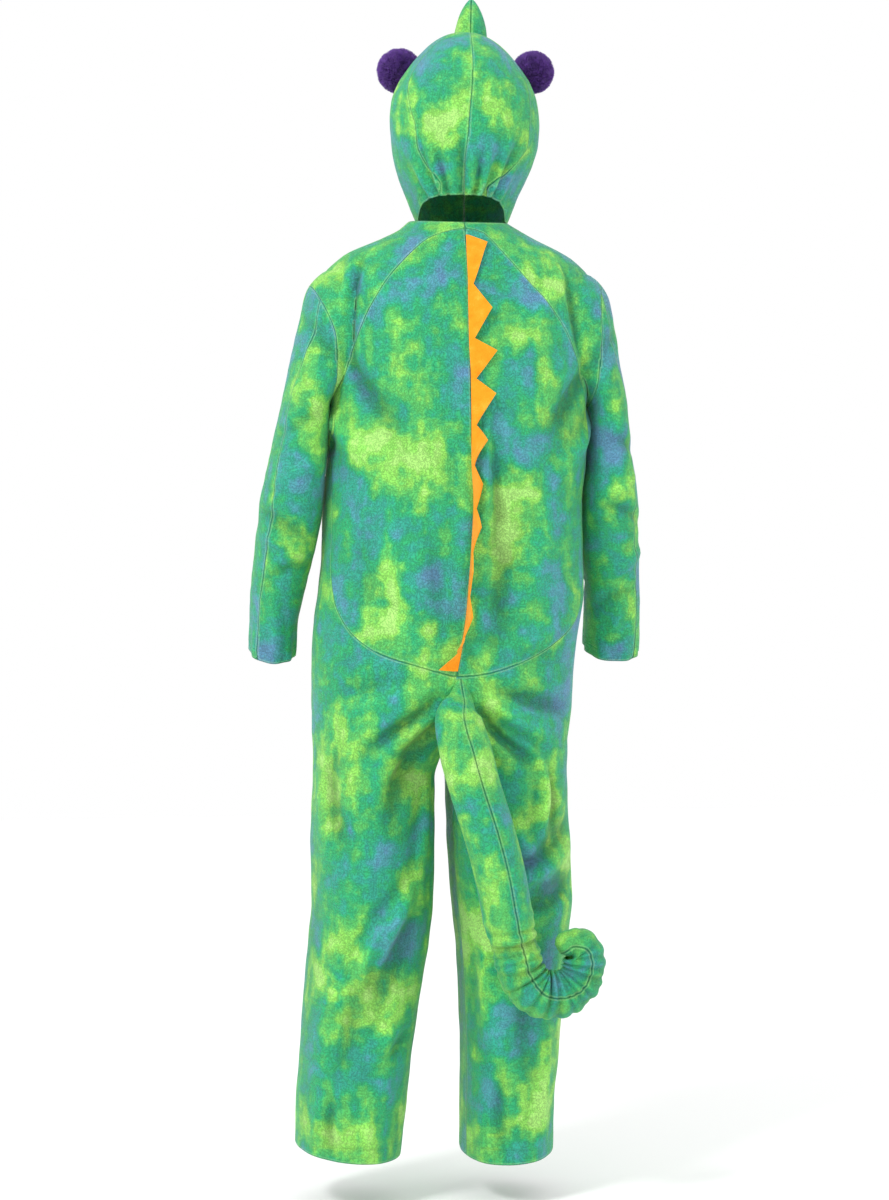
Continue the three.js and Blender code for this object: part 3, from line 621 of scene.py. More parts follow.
# Folds of the suit, seen from the back (face 1) or the front (face -1): height is negative for a trough
folds = named(["half", "face", "x", "z", "toX", "toZ", "width", "height", "bow"], [
    # left leg, behind
    (1, 1, 88, -1012, 146, -1122, 15, 9, 5),
    (1, 1, 120, -1060, 152, -1148, 8, -6, 3),
    (1, 1, 84, -1060, 140, -1175, 22, -6, 4),
    (1, 1, 62, -800, 120, -905, 12, -5, 6),
    (1, 1, 40, -742, 96, -850, 16, -7, 8),
    (1, 1, 56, -725, 150, -800, 16, -6, 6),
    (1, 1, 72, -712, 190, -748, 14, 5, 5),
    (1, 1, 60, -850, 70, -1000, 11, 4, -4),
    (1, 1, 190, -800, 180, -960, 18, -4, 6),
    (1, 1, 112, -1180, 126, -1330, 16, 4, 6),
    (1, 1, 170, -1100, 196, -1290, 18, -4, -6),
    (1, 1, 90, -1230, 140, -1290, 14, -4, 5),
    (1, 1, 150, -1330, 156, -1400, 12, 4, 2),
    (1, 1, 205, -1320, 210, -1402, 12, -4, 2),
    # right leg, behind
    (-1, 1, -10, -742, -78, -815, 11, -8, 5),
    (-1, 1, -26, -728, -118, -782, 14, 6, 6),
    (-1, 1, -40, -712, -140, -738, 14, -5, 4),
    (-1, 1, -80, -790, -118, -905, 9, 6, -8),
    (-1, 1, -104, -812, -134, -925, 10, -6, -6),
    (-1, 1, -60, -900, -100, -960, 9, 5, 4),
    (-1, 1, -70, -985, -160, -915, 14, -6, 5),
    (-1, 1, -60, -1010, -150, -950, 12, 5, 4),
    (-1, 1, -76, -1045, -164, -1000, 14, -5, 4),
    (-1, 1, -20, -850, -30, -1010, 10, -4, 3),
    (-1, 1, -30, -1080, -38, -1250, 14, 4, 4),
    (-1, 1, -100, -1120, -84, -1290, 18, -4, 6),
    (-1, 1, -128, -1240, -118, -1400, 14, 3, 4),
    (-1, 1, -50, -1290, -52, -1412, 13, -4, 3),
    # trunk, behind
    (0, 1, -22, -300, -24, -470, 9, 4, 2),
    (0, 1, -34, -330, -38, -500, 10, -4, 2),
    (0, 1, 10, -350, 12, -560, 12, 3, 3),
    (0, 1, 176, -220, 118, -310, 16, -5, 5),
    (0, 1, 186, -260, 132, -372, 15, 4, 6),
    (0, 1, -186, -228, -128, -322, 16, -5, 5),
    (0, 1, -190, -272, -140, -390, 14, 4, 6),
    (0, 1, 156, -66, 174, -225, 7, -5, 5),
    (0, 1, 168, -66, 184, -225, 9, 4, 5),
    (0, 1, -150, -70, -180, -215, 8, -4, 5),
    (0, 1, 150, -90, 100, -150, 16, 3, 4),
    (0, 1, -146, -92, -100, -150, 16, 3, 4),
    (0, 1, 120, -420, 100, -560, 22, 3, 6),
    (0, 1, -120, -440, -96, -580, 22, 3, 6),
    (0, 1, 60, -480, 44, -640, 16, -3, 4),
    (0, 1, -52, -500, -40, -640, 16, -3, 4),
    (0, 1, 70, -640, 150, -600, 16, 3, 5),
    (0, 1, -60, -650, -140, -610, 16, 3, 5),
    # trunk, front and sides
    (0, -1, 170, -250, 90, -350, 18, -6, 6),
    (0, -1, -170, -255, -90, -350, 18, -6, 6),
    (0, -1, 186, -300, 120, -420, 15, 5, 6),
    (0, -1, -186, -300, -120, -420, 15, 5, 6),
    (0, -1, 60, -420, 48, -620, 18, 4, 6),
    (0, -1, -56, -400, -60, -610, 18, -4, 6),
    (0, -1, 150, -480, 140, -660, 18, -4, 6),
    (0, -1, -140, -470, -136, -650, 18, 4, 6),
    (0, -1, 30, -60, 46, -190, 16, -3, 4),
    (0, -1, -40, -62, -56, -200, 16, 3, 4),
    # legs, front
    (1, -1, 60, -750, 180, -700, 16, -7, 6),
    (1, -1, 80, -790, 196, -760, 14, 5, 5),
    (1, -1, 70, -830, 150, -900, 14, -5, 5),
    (1, -1, 90, -1010, 190, -1060, 16, 7, 5),
    (1, -1, 96, -1060, 190, -1130, 14, -6, 5),
    (1, -1, 130, -1160, 150, -1340, 16, 4, 6),
    (1, -1, 190, -1180, 196, -1380, 14, -4, 6),
    (-1, -1, -20, -750, -140, -704, 16, -7, 6),
    (-1, -1, -40, -790, -150, -765, 14, 5, 5),
    (-1, -1, -30, -840, -110, -910, 14, -5, 5),
    (-1, -1, -20, -1050, -140, -1006, 16, 7, 5),
    (-1, -1, -26, -1090, -140, -1080, 14, -6, 5),
    (-1, -1, -60, -1170, -70, -1350, 16, 4, 6),
    (-1, -1, -110, -1180, -104, -1390, 14, -4, 6),
])


def creaseHeight(across, z, start, end, width, height, bow):
    # a soft ridge or trough along a slightly bowed line, with a shallow shoulder beside it
    alongA, alongZ = end[0] - start[0], end[1] - start[1]
    length = math.hypot(alongA, alongZ)
    unitA, unitZ = alongA / length, alongZ / length
    way = ((across - start[0]) * unitA + (z - start[1]) * unitZ) / length
    held = np.clip(way, 0, 1)
    off = -(across - start[0]) * unitZ + (z - start[1]) * unitA - bow * np.sin(np.pi * held)
    past = (way - held) * length
    fade = np.sin(np.pi * np.clip(0.1 + 0.8 * held, 0, 1)) ** 0.8
    spread = width * (0.75 + 0.5 * held)
    core = np.exp(-(off / spread) ** 2)
    shoulder = 0.35 * np.exp(-((off - 1.9 * spread) / spread) ** 2)
    return height * fade * (core - shoulder) * np.exp(-(past / spread) ** 2)


def softWaves(across, z, waves, extraSeed=0):
    # slow uneven waves of hanging cloth; upright waves run up and down
    height = np.zeros_like(across)
    for seed, amount, shortest, longest, count, upright in waves:
        pick = np.random.RandomState(seed + extraSeed)
        layer = np.zeros_like(across)
        for _ in range(count):
            length = pick.uniform(shortest, longest)
            turn = pick.normal(0, 0.5 / upright)
            phase = pick.uniform(0, 2 * np.pi)
            size = pick.uniform(0.4, 1.0) * length / longest
            way = across * math.cos(turn) + z * math.sin(turn)
            layer += size * np.sin(2 * np.pi / length * way + phase)
        height += amount * layer / math.sqrt(count)
    return height


def rowsAt(table, levels):
    # the table's columns at these levels, each as a column of rings
    return {name: column[:, None] for name, column in tableAt(table, levels).items()}


def evenLevels(table):
    bottom, top = table["z"][0], table["z"][-1]
    return np.linspace(bottom, top, int((top - bottom) / cloth["grid"]) + 1)


def folded(rings, height):
    return rings + outwardOf(rings) * height[:, :, None], height


def bodyRings(side):
    # one half of the suit: an even grid of points, folded, and the height of its folds
    rows = halfRows(side)
    levels = evenLevels(rows)
    row = rowsAt(rows, levels)

    def arc(turns, reach):
        across, deep = np.cos(turns)[None, :], np.sin(turns)[None, :]
        x = row["middle"] + (reach - row["middle"]) * np.abs(bend(across, row["power"]))
        share = bend(deep, row["power"])
        y = share * np.where(deep > 0, row["back"], row["front"])
        depth = np.where(deep > 0, suit["neckBackDip"], suit["neckFrontDip"]) * share**2
        z = row["z"] + row["leanX"] * (x - row["middle"]) + row["leanY"] * y - neckDip(row["z"], depth)
        return np.stack([x, y, z], axis=2)

    # both parts of each ring start at the back middle and end at the front middle
    turns = np.linspace(np.pi / 2, -np.pi / 2, 260)
    outer, outerWay, outerLength = evenColumns(arc(turns, row["outer"]), suit["outerColumns"])
    inner, innerWay, innerLength = evenColumns(arc(turns, row["inner"]), suit["innerColumns"])
    rings = np.concatenate([outer, inner[:, -2:0:-1]], axis=1)
    innerWay = innerWay[:, -2:0:-1]
    backWay = np.concatenate([outerWay, -innerWay], axis=1) * side
    outerLeft, innerLeft = outerLength[:, None] - outerWay, innerLength[:, None] - innerWay
    frontWay = np.concatenate([outerLeft, -innerLeft], axis=1) * side
    height = np.zeros(rings.shape[:2])
    z = rings[:, :, 2]
    for fold in folds:
        if fold["half"] not in (0, side):
            continue
        across = backWay if fold["face"] > 0 else frontWay
        ends = []
        for x, level in ((fold["x"], fold["z"]), (fold["toX"], fold["toZ"])):
            i = int(np.clip(np.searchsorted(levels, level), 0, len(levels) - 1))
            xs, ways = rings[i, :, 0], across[i]
            near = np.abs(ways) < 0.62 * max(outerLength[i], 1)
            order = np.argsort(xs[near])
            ends.append((float(np.interp(x, xs[near][order], ways[near][order])), level))
        size = suit["foldScale"] * fold["height"]
        height += creaseHeight(across, z, ends[0], ends[1], fold["width"], size, fold["bow"])
    height += softWaves(backWay, z, suit["waves"]) * smoothStep(-20, -90, z)
    return folded(rings, height)


sleeveNames = ["z", "outerLeft", "innerLeft", "outerRight", "innerRight", "half", "middleY", "lean"]
sleeveRows = makeTable(sleeveNames, [
    (-72, 187, 130, -181, -128, 34, 0, 0),
    (-84, 210, 118, -211, -118, 52, 0, 0),
    (-104, 228, 112, -229, -112, 66, 0, 0),
    (-119, 234, 112, -236, -112, 71, 0, 0),
    (-150, 240, 116, -243, -116, 74, 0, 0),
    (-180, 248, 122, -248, -122, 74, 1, 0),
    (-211, 255, 134, -250, -134, 72, 3, 0),
    (-238, 261, 156, -255, -158, 69, 5, 0),
    (-262, 266, 186, -258, -190, 66, 7, 0),
    (-285, 271, 198.5, -261, -202, 63, 9, 0),
    (-310, 277, 199, -264, -202, 61, 10, 0),
    (-340, 284, 201, -267, -200, 59, 12, 0),
    (-370, 291, 203, -271, -199, 58, 13, 0),
    (-413, 299, 206, -278, -194, 57, 8, 0),
    (-456, 305, 209, -283, -194.5, 55, -4, 0),
    (-486, 307, 214, -286, -197, 54, -14, 0.04),
    (-517, 309, 220, -290, -202, 52, -26, 0.1),
    (-548, 311, 227, -294, -208, 50, -38, 0.19),
    (-578, 312, 233, -298, -211, 48, -48, 0.28),
    (-609, 312, 239, -300, -213, 46, -58, 0.36),
    (-655, 312, 241, -301, -214, 44, -70, 0.45),
])
sleeve = {
    "seamTurn": math.radians(52),
    "cuffStitch": 17.0,
    "cuffGathers": 9,
    "cuffGatherHeight": 1.5,
    "power": 2.15,
    "columns": 64,
    "foldRadius": 52.0,
    "waves": [(61, 1.3, 44, 110, 10, 0.8), (63, 0.5, 13.6, 34, 10, 0.8)],
}

# Folds of the sleeves: turn is the angle round the arm in degrees, 0 outside and 90 behind
sleeveFolds = named(["side", "turn", "z", "toTurn", "toZ", "width", "height", "bow"], [
    (1, 20, -150, 110, -235, 12, -4, 5),
    (1, 40, -200, 130, -280, 10, 4, 5),
    (1, 30, -330, 120, -300, 11, -4, 4),
    (1, 50, -400, 140, -370, 11, 4, 4),
    (1, 10, -440, 110, -480, 10, -5, 4),
    (1, 20, -480, 120, -510, 9, 4, 4),
    (1, 60, -540, 150, -520, 9, -4, 4),
    (1, 70, -570, 90, -640, 8, 3, 3),
    (1, -100, -420, -10, -460, 12, -5, 4),
    (1, 200, -480, 290, -440, 12, 4, 4),
    (1, 190, -560, 280, -590, 11, -4, 4),
    (-1, 20, -160, 110, -240, 12, -4, 5),
    (-1, 50, -215, 140, -300, 10, 4, 5),
    (-1, 20, -350, 120, -330, 11, -4, 4),
    (-1, 40, -390, 130, -430, 11, 4, 4),
    (-1, 20, -460, 120, -430, 10, -5, 4),
    (-1, 10, -500, 100, -540, 9, 4, 4),
    (-1, 50, -560, 140, -590, 9, -4, 4),
    (-1, 90, -590, 100, -650, 8, 3, 3),
    (-1, -100, -410, -10, -450, 12, -5, 4),
    (-1, 200, -470, 290, -430, 12, 4, 4),
    (-1, 190, -550, 280, -585, 11, -4, 4),
])


def sleeveEdges(side, row):
    # the sleeve's outer and inner edge on this side
    return (row["outerLeft"], row["innerLeft"]) if side > 0 else (row["outerRight"], row["innerRight"])


def sleeveRings(side):
    levels = evenLevels(sleeveRows)
    row = rowsAt(sleeveRows, levels)
    outer, inner = sleeveEdges(side, row)
    turns = np.linspace(0, 2 * np.pi, sleeve["columns"], endpoint=False)[None, :]
    x = (outer + inner) / 2 + (outer - inner) / 2 * bend(np.cos(turns), sleeve["power"])
    y = row["half"] * bend(np.sin(turns), sleeve["power"])
    rings = np.stack([x, row["middleY"] + y, row["z"] - row["lean"] * y], axis=2)
    z = rings[:, :, 2]
    height = np.zeros(rings.shape[:2])
    radius = sleeve["foldRadius"]
    for fold in sleeveFolds:
        if fold["side"] != side:
            continue
        first, last = math.radians(fold["turn"]), math.radians(fold["toTurn"])
        middle = (first + last) / 2
        across = ((turns - middle + np.pi) % (2 * np.pi) - np.pi) * radius + 0 * row["z"]
        start, end = ((first - middle) * radius, fold["z"]), ((last - middle) * radius, fold["toZ"])
        height += creaseHeight(across, z, start, end, fold["width"], fold["height"], fold["bow"])
    wrapped = radius * np.sin(turns) + 0 * row["z"]
    height += softWaves(wrapped, z, sleeve["waves"], side) * smoothStep(-100, -160, row["z"])
    wave = np.cos(turns * sleeve["cuffGathers"] + 1.4 * np.sin(turns * 2 + side))
    height += wave * sleeve["cuffGatherHeight"] * smoothStep(55, 8, row["z"] - levels[0])
    return folded(rings, height)


ovalSeam = [
    (-3, -20), (20, -22), (44, -29), (66, -41), (99, -72), (126, -104), (145, -136), (161, -172), (173, -212),
    (184, -250), (193, -290), (197, -340), (198, -400), (198, -470), (200, -530), (198, -572),
    (190, -600), (173, -628), (137, -655), (87, -672), (49, -683), (22, -689), (-24, -685),
    (-69, -672), (-117, -650), (-157, -622), (-175, -600), (-184, -566), (-184, -500), (-183, -430),
    (-189, -360), (-192, -305), (-184, -262), (-165, -207), (-144, -164), (-113, -124), (-70, -75),
    (-33, -32), (-18, -23),
]
armholes = {
    1: [
        (244, 0), (240, -62), (226, -105), (206, -150), (195, -186), (194, -240), (197, -268),
        (197.8, -300), (202, -370), (206.5, -440), (210, -490), (219, -560), (229, -620), (232, -700),
    ],
    -1: [
        (-236, 0), (-232, -62), (-214, -107), (-211, -142), (-210, -200), (-205, -245), (-201, -285),
        (-200.4, -310), (-198.2, -370), (-192.8, -420), (-196, -500), (-201, -560), (-201, -620),
        (-197, -700),
    ],
}


def fromBack(x, z, y):
    return np.stack([x, y, z], axis=1)


def fromAbove(x, y, z):
    return np.stack([x, y, z], axis=1)


def leftOutline():
    # all that lies left of the centre seam and of the gap between the legs
    heights = np.linspace(0, suit["hipZ"], 40)
    line = np.stack([tableAt(trunkRows, heights)["middle"], heights], axis=1)
    crotch, gapX, floor = suit["crotchZ"], 26.5, -far * 2.4
    below = [(gapX, crotch + 20), (gapX, crotch - 60), (gapX, floor), (far, floor), (far, 60)]
    return np.concatenate([[(-2, 60)], line, below])


def backOutline():
    edge = suit["sideSeamY"] + suit["sideSeamSlope"] * far
    return [(0, suit["sideSeamY"]), (far, edge), (far, far), (-far, far), (-far, edge)]


def sleeveSlab(side, gap):
    # fills one side of a sleeve, up to the plane of its two seams
    turn = sleeve["seamTurn"]
    along = np.array([side * math.cos(turn), math.sin(turn), 0])
    square = np.array([side * math.sin(turn), -math.cos(turn), 0])
    levels = np.array([-760, -655, -578, -486, -413, -340, -262, -180, -119, -30], float)
    row = tableAt(sleeveRows, levels)
    outer, inner = sleeveEdges(side, row)
    middle = np.stack([(outer + inner) / 2, row["middleY"], levels], axis=1)
    corners = [(-200, -gap), (200, -gap), (200, 250), (-200, 250)]
    return loft("slab", np.stack([middle + along * a + square * b for a, b in corners], axis=1))


surfaces = {side: (bodyRings(side), sleeveRings(side)) for side in sideNames}


def filledHalf(side, distance, edgeStep):
    # half of the suit with its sleeve, filled, and moved in by a distance
    (body, _), (arm, _) = surfaces[side]
    trunk = loft("trunk", moved(body, distance, edgeStep, edgeStep))
    tube = loft("tube", moved(arm, distance, edgeStep, -max(distance, 0)))
    return combined(trunk, tube, "UNION")


def hemRise(points, side):
    # height above the hem's edge
    row = dict(zip(legNames, legRows[side][-1]))
    edge = row["z"] + row["leanX"] * (points[:, 0] - row["middle"]) + row["leanY"] * points[:, 1]
    return points[:, 2] - edge


def cuffRise(points, side):
    # height above the cuff's edge, the same for both sides
    cuff = {name: column[0] for name, column in sleeveRows.items()}
    return points[:, 2] - cuff["z"] + cuff["lean"] * (points[:, 1] - cuff["middleY"])


# Every suit panel: its dye, patches and the cut of its cloth in metres
panelNames = ["shift", "base", "flat", "area", "spots"]
suitPanels = {
    "oval_back_left": ((3.1, 0.4, 1.7), 0.56, (0.21, 0.69), 0.133, [
        (110, -150, 60, -0.3), (60, -110, 45, -0.25), (150, -330, 55, 0.35), (70, -380, 70, 0.25),
        (150, -440, 45, -0.35), (60, -560, 50, -0.35), (130, -590, 60, 0.3), (60, -220, 60, 0.1),
    ]),
    "oval_back_right": ((7.7, 1.4, 0.2), 0.56, (0.2, 0.69), 0.12, [
        (-90, -110, 55, -0.3), (-60, -190, 45, 0.3), (-130, -260, 55, 0.15), (-90, -350, 45, -0.3),
        (-60, -460, 55, 0.3), (-140, -420, 45, -0.25), (-120, -560, 55, -0.35), (-80, -620, 45, 0.2),
    ]),
    "side_back_left": ((1.2, 5.1, 3.3), 0.58, (0.33, 1.43), 0.283, [
        (95, -40, 50, -0.25), (170, -90, 55, 0.1), (200, -640, 50, -0.3), (120, -740, 55, -0.3),
        (90, -860, 55, 0.25), (190, -800, 60, 0.3), (130, -960, 55, -0.3), (190, -1060, 55, 0.1),
        (100, -1100, 50, -0.35), (150, -1200, 70, 0.2), (210, -1290, 60, -0.3), (130, -1330, 55, -0.2),
        (190, -1390, 45, 0.3),
    ]),
    "side_back_right": ((5.4, 2.2, 8.1), 0.56, (0.33, 1.43), 0.27, [
        (-80, -40, 50, -0.2), (-150, -80, 50, 0.1), (-170, -640, 55, -0.3), (-110, -740, 60, -0.35),
        (-40, -820, 45, 0.25), (-140, -900, 55, 0.15), (-60, -960, 50, -0.3), (-50, -1080, 60, 0.3),
        (-120, -1150, 55, -0.3), (-60, -1230, 55, -0.25), (-120, -1330, 60, 0.3), (-40, -1380, 45, 0.2),
    ]),
    "front_left": ((9.3, 7.4, 2.6), 0.56, (0.35, 1.43), 0.386, []),
    "front_right": ((2.9, 8.8, 6.2), 0.56, (0.35, 1.43), 0.396, []),
    "sleeve_outer_left": ((4.2, 3.7, 9.1), 0.5, (0.18, 0.56), 0.084, [
        (240, -110, 50, -0.25), (262, -200, 50, -0.3), (270, -420, 45, 0.35), (300, -340, 45, 0.3),
        (290, -540, 50, -0.1), (290, -620, 40, -0.25),
    ]),
    "sleeve_inner_left": ((6.6, 9.9, 4.4), 0.5, (0.15, 0.56), 0.069, [
        (220, -330, 50, 0.3), (236, -420, 45, -0.25), (250, -520, 50, 0.15), (260, -600, 45, -0.25),
    ]),
    "sleeve_outer_right": ((8.5, 6.1, 5.7), 0.46, (0.18, 0.56), 0.082, [
        (-230, -120, 55, -0.15), (-250, -260, 55, -0.25), (-255, -400, 50, -0.3), (-262, -480, 45, 0.2),
        (-280, -560, 50, -0.3), (-280, -620, 40, -0.2),
    ]),
    "sleeve_inner_right": ((0.8, 4.9, 7.5), 0.48, (0.15, 0.56), 0.066, [
        (-215, -330, 50, -0.25), (-225, -430, 50, 0.2), (-240, -540, 50, -0.15), (-250, -610, 40, 0.1),
    ]),
}


def makeHalf(side):
    # the wall between two lofts, cut along the armhole, the centre, the side seams and the oval
    inside = filledHalf(side, cloth["wall"], cloth["overrun"])
    half = combined(filledHalf(side, 0.0, 0.0), inside, "DIFFERENCE")
    armhole = np.concatenate([rounded(armholes[side], 5), [(side * far, -far), (side * far, 0)]])
    arm, trunk = cut(half, armhole, -far, far, fromBack)
    body = cut(trunk, leftOutline(), -far, far, fromBack)[0 if side > 0 else 1]
    back, front = cut(body, backOutline(), -far * 3, far, fromAbove)
    oval, sideBack = cut(back, rounded(ovalSeam, 5, closed=True), -10, far, fromBack)
    creaseOf = creaseFinder(surfaces[side])
    outerArm = combined(arm, sleeveSlab(side, 0.0), "INTERSECT")
    innerArm = combined(arm, sleeveSlab(side, cloth["seam"]), "DIFFERENCE")
    for part, mesh in (("oval_back", oval), ("side_back", sideBack), ("front", front)):
        clothPiece(part, side, mesh, suitPanels, hemRise, suit["hemStitch"], creaseOf)
    for part, mesh in (("sleeve_outer", outerArm), ("sleeve_inner", innerArm)):
        clothPiece(part, side, mesh, suitPanels, cuffRise, sleeve["cuffStitch"], creaseOf)


for side in sideNames:
    makeHalf(side)
suitSkin = combined(*(filledHalf(side, -cloth["seam"], cloth["seam"]) for side in sideNames), "UNION")
print("suit made")

# Hood
hoodRows = makeTable(["z", "half", "back", "front", "slope", "middle"], [
    (-6, 66, 86, 84, 0.43, 4),
    (20, 77, 92, 92, 0.38, 4),
    (46, 88, 98, 99, 0.32, 3.5),
    (70, 99, 103, 105, 0.26, 2.5),
    (95, 108, 106, 110, 0.2, 1),
    (119, 113, 108, 113, 0.14, 0),
    (148, 114.5, 108, 115, 0.08, 0),
    (181, 111, 107, 114, 0.03, 0),
    (205, 102.5, 103, 110, 0, 0),
    (229, 87.5, 94, 100, 0, 0),
    (252, 69.5, 79, 85, 0, 0),
    (267, 54, 64, 68, 0, 0),
    (279, 35.5, 44, 46, 0, 0),
    (286, 15, 19, 20, 0, 0),
    (287.5, 4, 5, 5, 0, 0),
])
hood = {
    "x": -12.0,
    "y": -5.0,
    "turn": math.radians(-10),
    "faceHalfWidth": 72.0,
    "faceHalfHeight": 85.0,
    "faceZ": 141.0,
    "hemStitch": 9.0,
    "hemRounding": 2.2,
    "power": 2.1,
    "columns": 168,
    "napePull": 2.2,
    "waves": [(71, 1.3, 60, 170, 10, 1.0), (72, 0.4, 18, 44, 10, 1.0)],
}
hoodCentreSeam = [(0, 46), (-1.5, 81), (-6, 116), (-8, 150), (-12, 195), (-12, 237), (-9, 283)]
hoodBackSeam = [
    (14, 279), (39, 266), (66, 236), (84, 200), (80, 160), (73, 136), (69, 102), (53, 72), (36, 48),
    (36, -60), (-34, -60), (-34, 44), (-62, 66), (-86, 92), (-97, 118), (-97, 190), (-78, 232),
    (-50, 264), (-33, 277),
]
# Gather folds above the nape: way round from the back middle, height, and where each fades out
napeFolds = named(["way", "z", "toWay", "toZ", "width", "height"], [
    (-3, 30, 3, 112, 5.0, -5.4),
    (9, 28, 20, 100, 5.4, 4.0),
    (20, 27, 42, 98, 5.0, -4.8),
    (28, 26, 54, 84, 5.0, 3.4),
    (36, 25, 74, 112, 5.0, -4.8),
    (46, 24, 92, 96, 6.0, 3.8),
    (56, 22, 100, 76, 5.6, -3.8),
    (-10, 29, -17, 94, 5.4, 3.6),
    (-18, 28, -32, 96, 4.8, -4.8),
    (-26, 27, -44, 106, 5.0, 3.6),
    (-34, 26, -62, 100, 5.0, -4.6),
    (-43, 25, -78, 122, 5.4, 4.0),
    (-52, 23, -94, 108, 5.6, -4.0),
    (-62, 21, -106, 86, 6.2, 3.2),
])


def hoodPlace(u, v, z):
    turn = hood["turn"]
    x = hood["x"] + u * math.cos(turn) - v * math.sin(turn)
    y = hood["y"] + u * math.sin(turn) + v * math.cos(turn)
    return np.stack([x, y, z], axis=-1)


def fromHoodBack(u, z, v):
    return hoodPlace(u, v, z)


hoodAcross = np.array([math.cos(hood["turn"]), math.sin(hood["turn"]), 0.0])
hoodDeep = np.array([-math.sin(hood["turn"]), math.cos(hood["turn"]), 0.0])


def napeLift(share):
    # the hood's edge rises towards the front, and is rounded off behind
    return np.where(share > 0, 1 - np.clip(1 - share, 0, 1) ** hood["hemRounding"], share)


def hoodRise(points, side=0):
    # height above the hood's lower edge, the same for both sides
    v = (points - hoodPlace(0, 0, 0)) @ hoodDeep
    depth = np.where(v > 0, hoodRows["back"][0], hoodRows["front"][0])
    lift = napeLift(np.clip(v / depth, -1, 1))
    return points[..., 2] - hoodRows["z"][0] - hoodRows["slope"][0] * depth * lift


def hoodRings():
    levels = np.concatenate([np.arange(hoodRows["z"][0], 262, 3.6), np.arange(262, 286, 2.4), [286, 287.5]])
    row = rowsAt(hoodRows, levels)
    turns = np.linspace(np.pi / 2, np.pi / 2 + 2 * np.pi, 721)[None, :]
    u = row["middle"] + row["half"] * bend(np.cos(turns), hood["power"])
    deep = np.sin(turns)
    share = bend(deep, hood["power"])
    depth = np.where(deep > 0, row["back"], row["front"])
    points = hoodPlace(u, depth * share, row["z"] + row["slope"] * depth * napeLift(share))
    rings, way, length = evenColumns(points, hood["columns"], True)
    # way runs towards the right from the back middle
    across = np.where(way > length[:, None] / 2, length[:, None] - way, -way)
    height = np.zeros(rings.shape[:2])
    z = rings[:, :, 2]
    for fold in napeFolds:
        start, end = (fold["way"], fold["z"] - 8), (fold["toWay"], fold["toZ"])
        height += creaseHeight(across, z, start, end, fold["width"], fold["height"], 2.0)
    height += softWaves(across, z, hood["waves"]) * smoothStep(284, 240, z)
    # the elastic pulls the nape's edge in
    height -= hood["napePull"] * smoothStep(16, 4, hoodRise(rings)) * smoothStep(90, 50, np.abs(across))
    return folded(rings, height)


hoodSurface, hoodHeight = hoodRings()


hoodPanels = {
    "hood_back_left": ((1.9, 7.3, 5.2), 0.52, (0.1, 0.31), 0.024, [
        (40, 250, 45, -0.4), (60, 190, 40, -0.15), (30, 150, 45, 0.35), (50, 100, 45, 0.15),
        (20, 60, 40, -0.2),
    ]),
    "hood_back_right": ((5.9, 0.3, 6.9), 0.52, (0.11, 0.31), 0.031, [
        (-60, 250, 45, -0.35), (-40, 190, 40, 0.1), (-70, 150, 45, 0.3), (-50, 90, 45, -0.2),
        (-30, 60, 35, 0.2),
    ]),
    "hood_side_left": ((9.6, 2.7, 0.9), 0.58, (0.3, 0.33), 0.068, [
        (80, 230, 45, -0.15), (98, 150, 45, 0.35), (80, 80, 40, 0.1), (60, 40, 35, -0.2),
    ]),
    "hood_side_right": ((3.5, 9.2, 8.4), 0.54, (0.29, 0.33), 0.061, [
        (-100, 220, 45, -0.2), (-118, 150, 45, 0.2), (-110, 90, 45, 0.3), (-80, 40, 35, -0.2),
    ]),
}
hoodSkin = loft("hoodSkin", moved(hoodSurface, -cloth["seam"], cloth["seam"], cloth["seam"]))


def makeHood():
    hollow = loft("hollow", moved(hoodSurface, cloth["wall"], cloth["overrun"], -cloth["wall"]))
    shell = combined(loft("hood", hoodSurface), hollow, "DIFFERENCE")
    turns = np.linspace(0, 2 * np.pi, 72, endpoint=False)
    across, up = hood["faceHalfWidth"] * np.cos(turns), hood["faceHalfHeight"] * np.sin(turns)
    face = prism("face", np.stack([across, hood["faceZ"] + up], axis=1), -far, -30, fromHoodBack)
    shell = combined(combined(shell, face, "DIFFERENCE"), suitSkin, "DIFFERENCE")
    centre = np.concatenate([[(0, -200)], rounded(hoodCentreSeam, 5), [(-9, 400), (far, 400), (far, -200)]])
    # the back seam goes down one side, straight across under the hood and up the other
    down, across, up = hoodBackSeam[:9], hoodBackSeam[9:11], hoodBackSeam[11:]
    backLine = np.concatenate([[(0, 330)], rounded(down, 4), across, rounded(up, 4)])
    creaseOf = creaseFinder([(hoodSurface, hoodHeight)])
    for side, mesh in zip(sideNames, cut(shell, centre, -far, far, fromHoodBack)):
        back, rest = cut(mesh, backLine, 0, far, fromHoodBack)
        clothPiece("hood_back", side, back, hoodPanels, hoodRise, hood["hemStitch"], creaseOf)
        clothPiece("hood_side", side, rest, hoodPanels, hoodRise, hood["hemStitch"], creaseOf)


makeHood()
print("hood made")

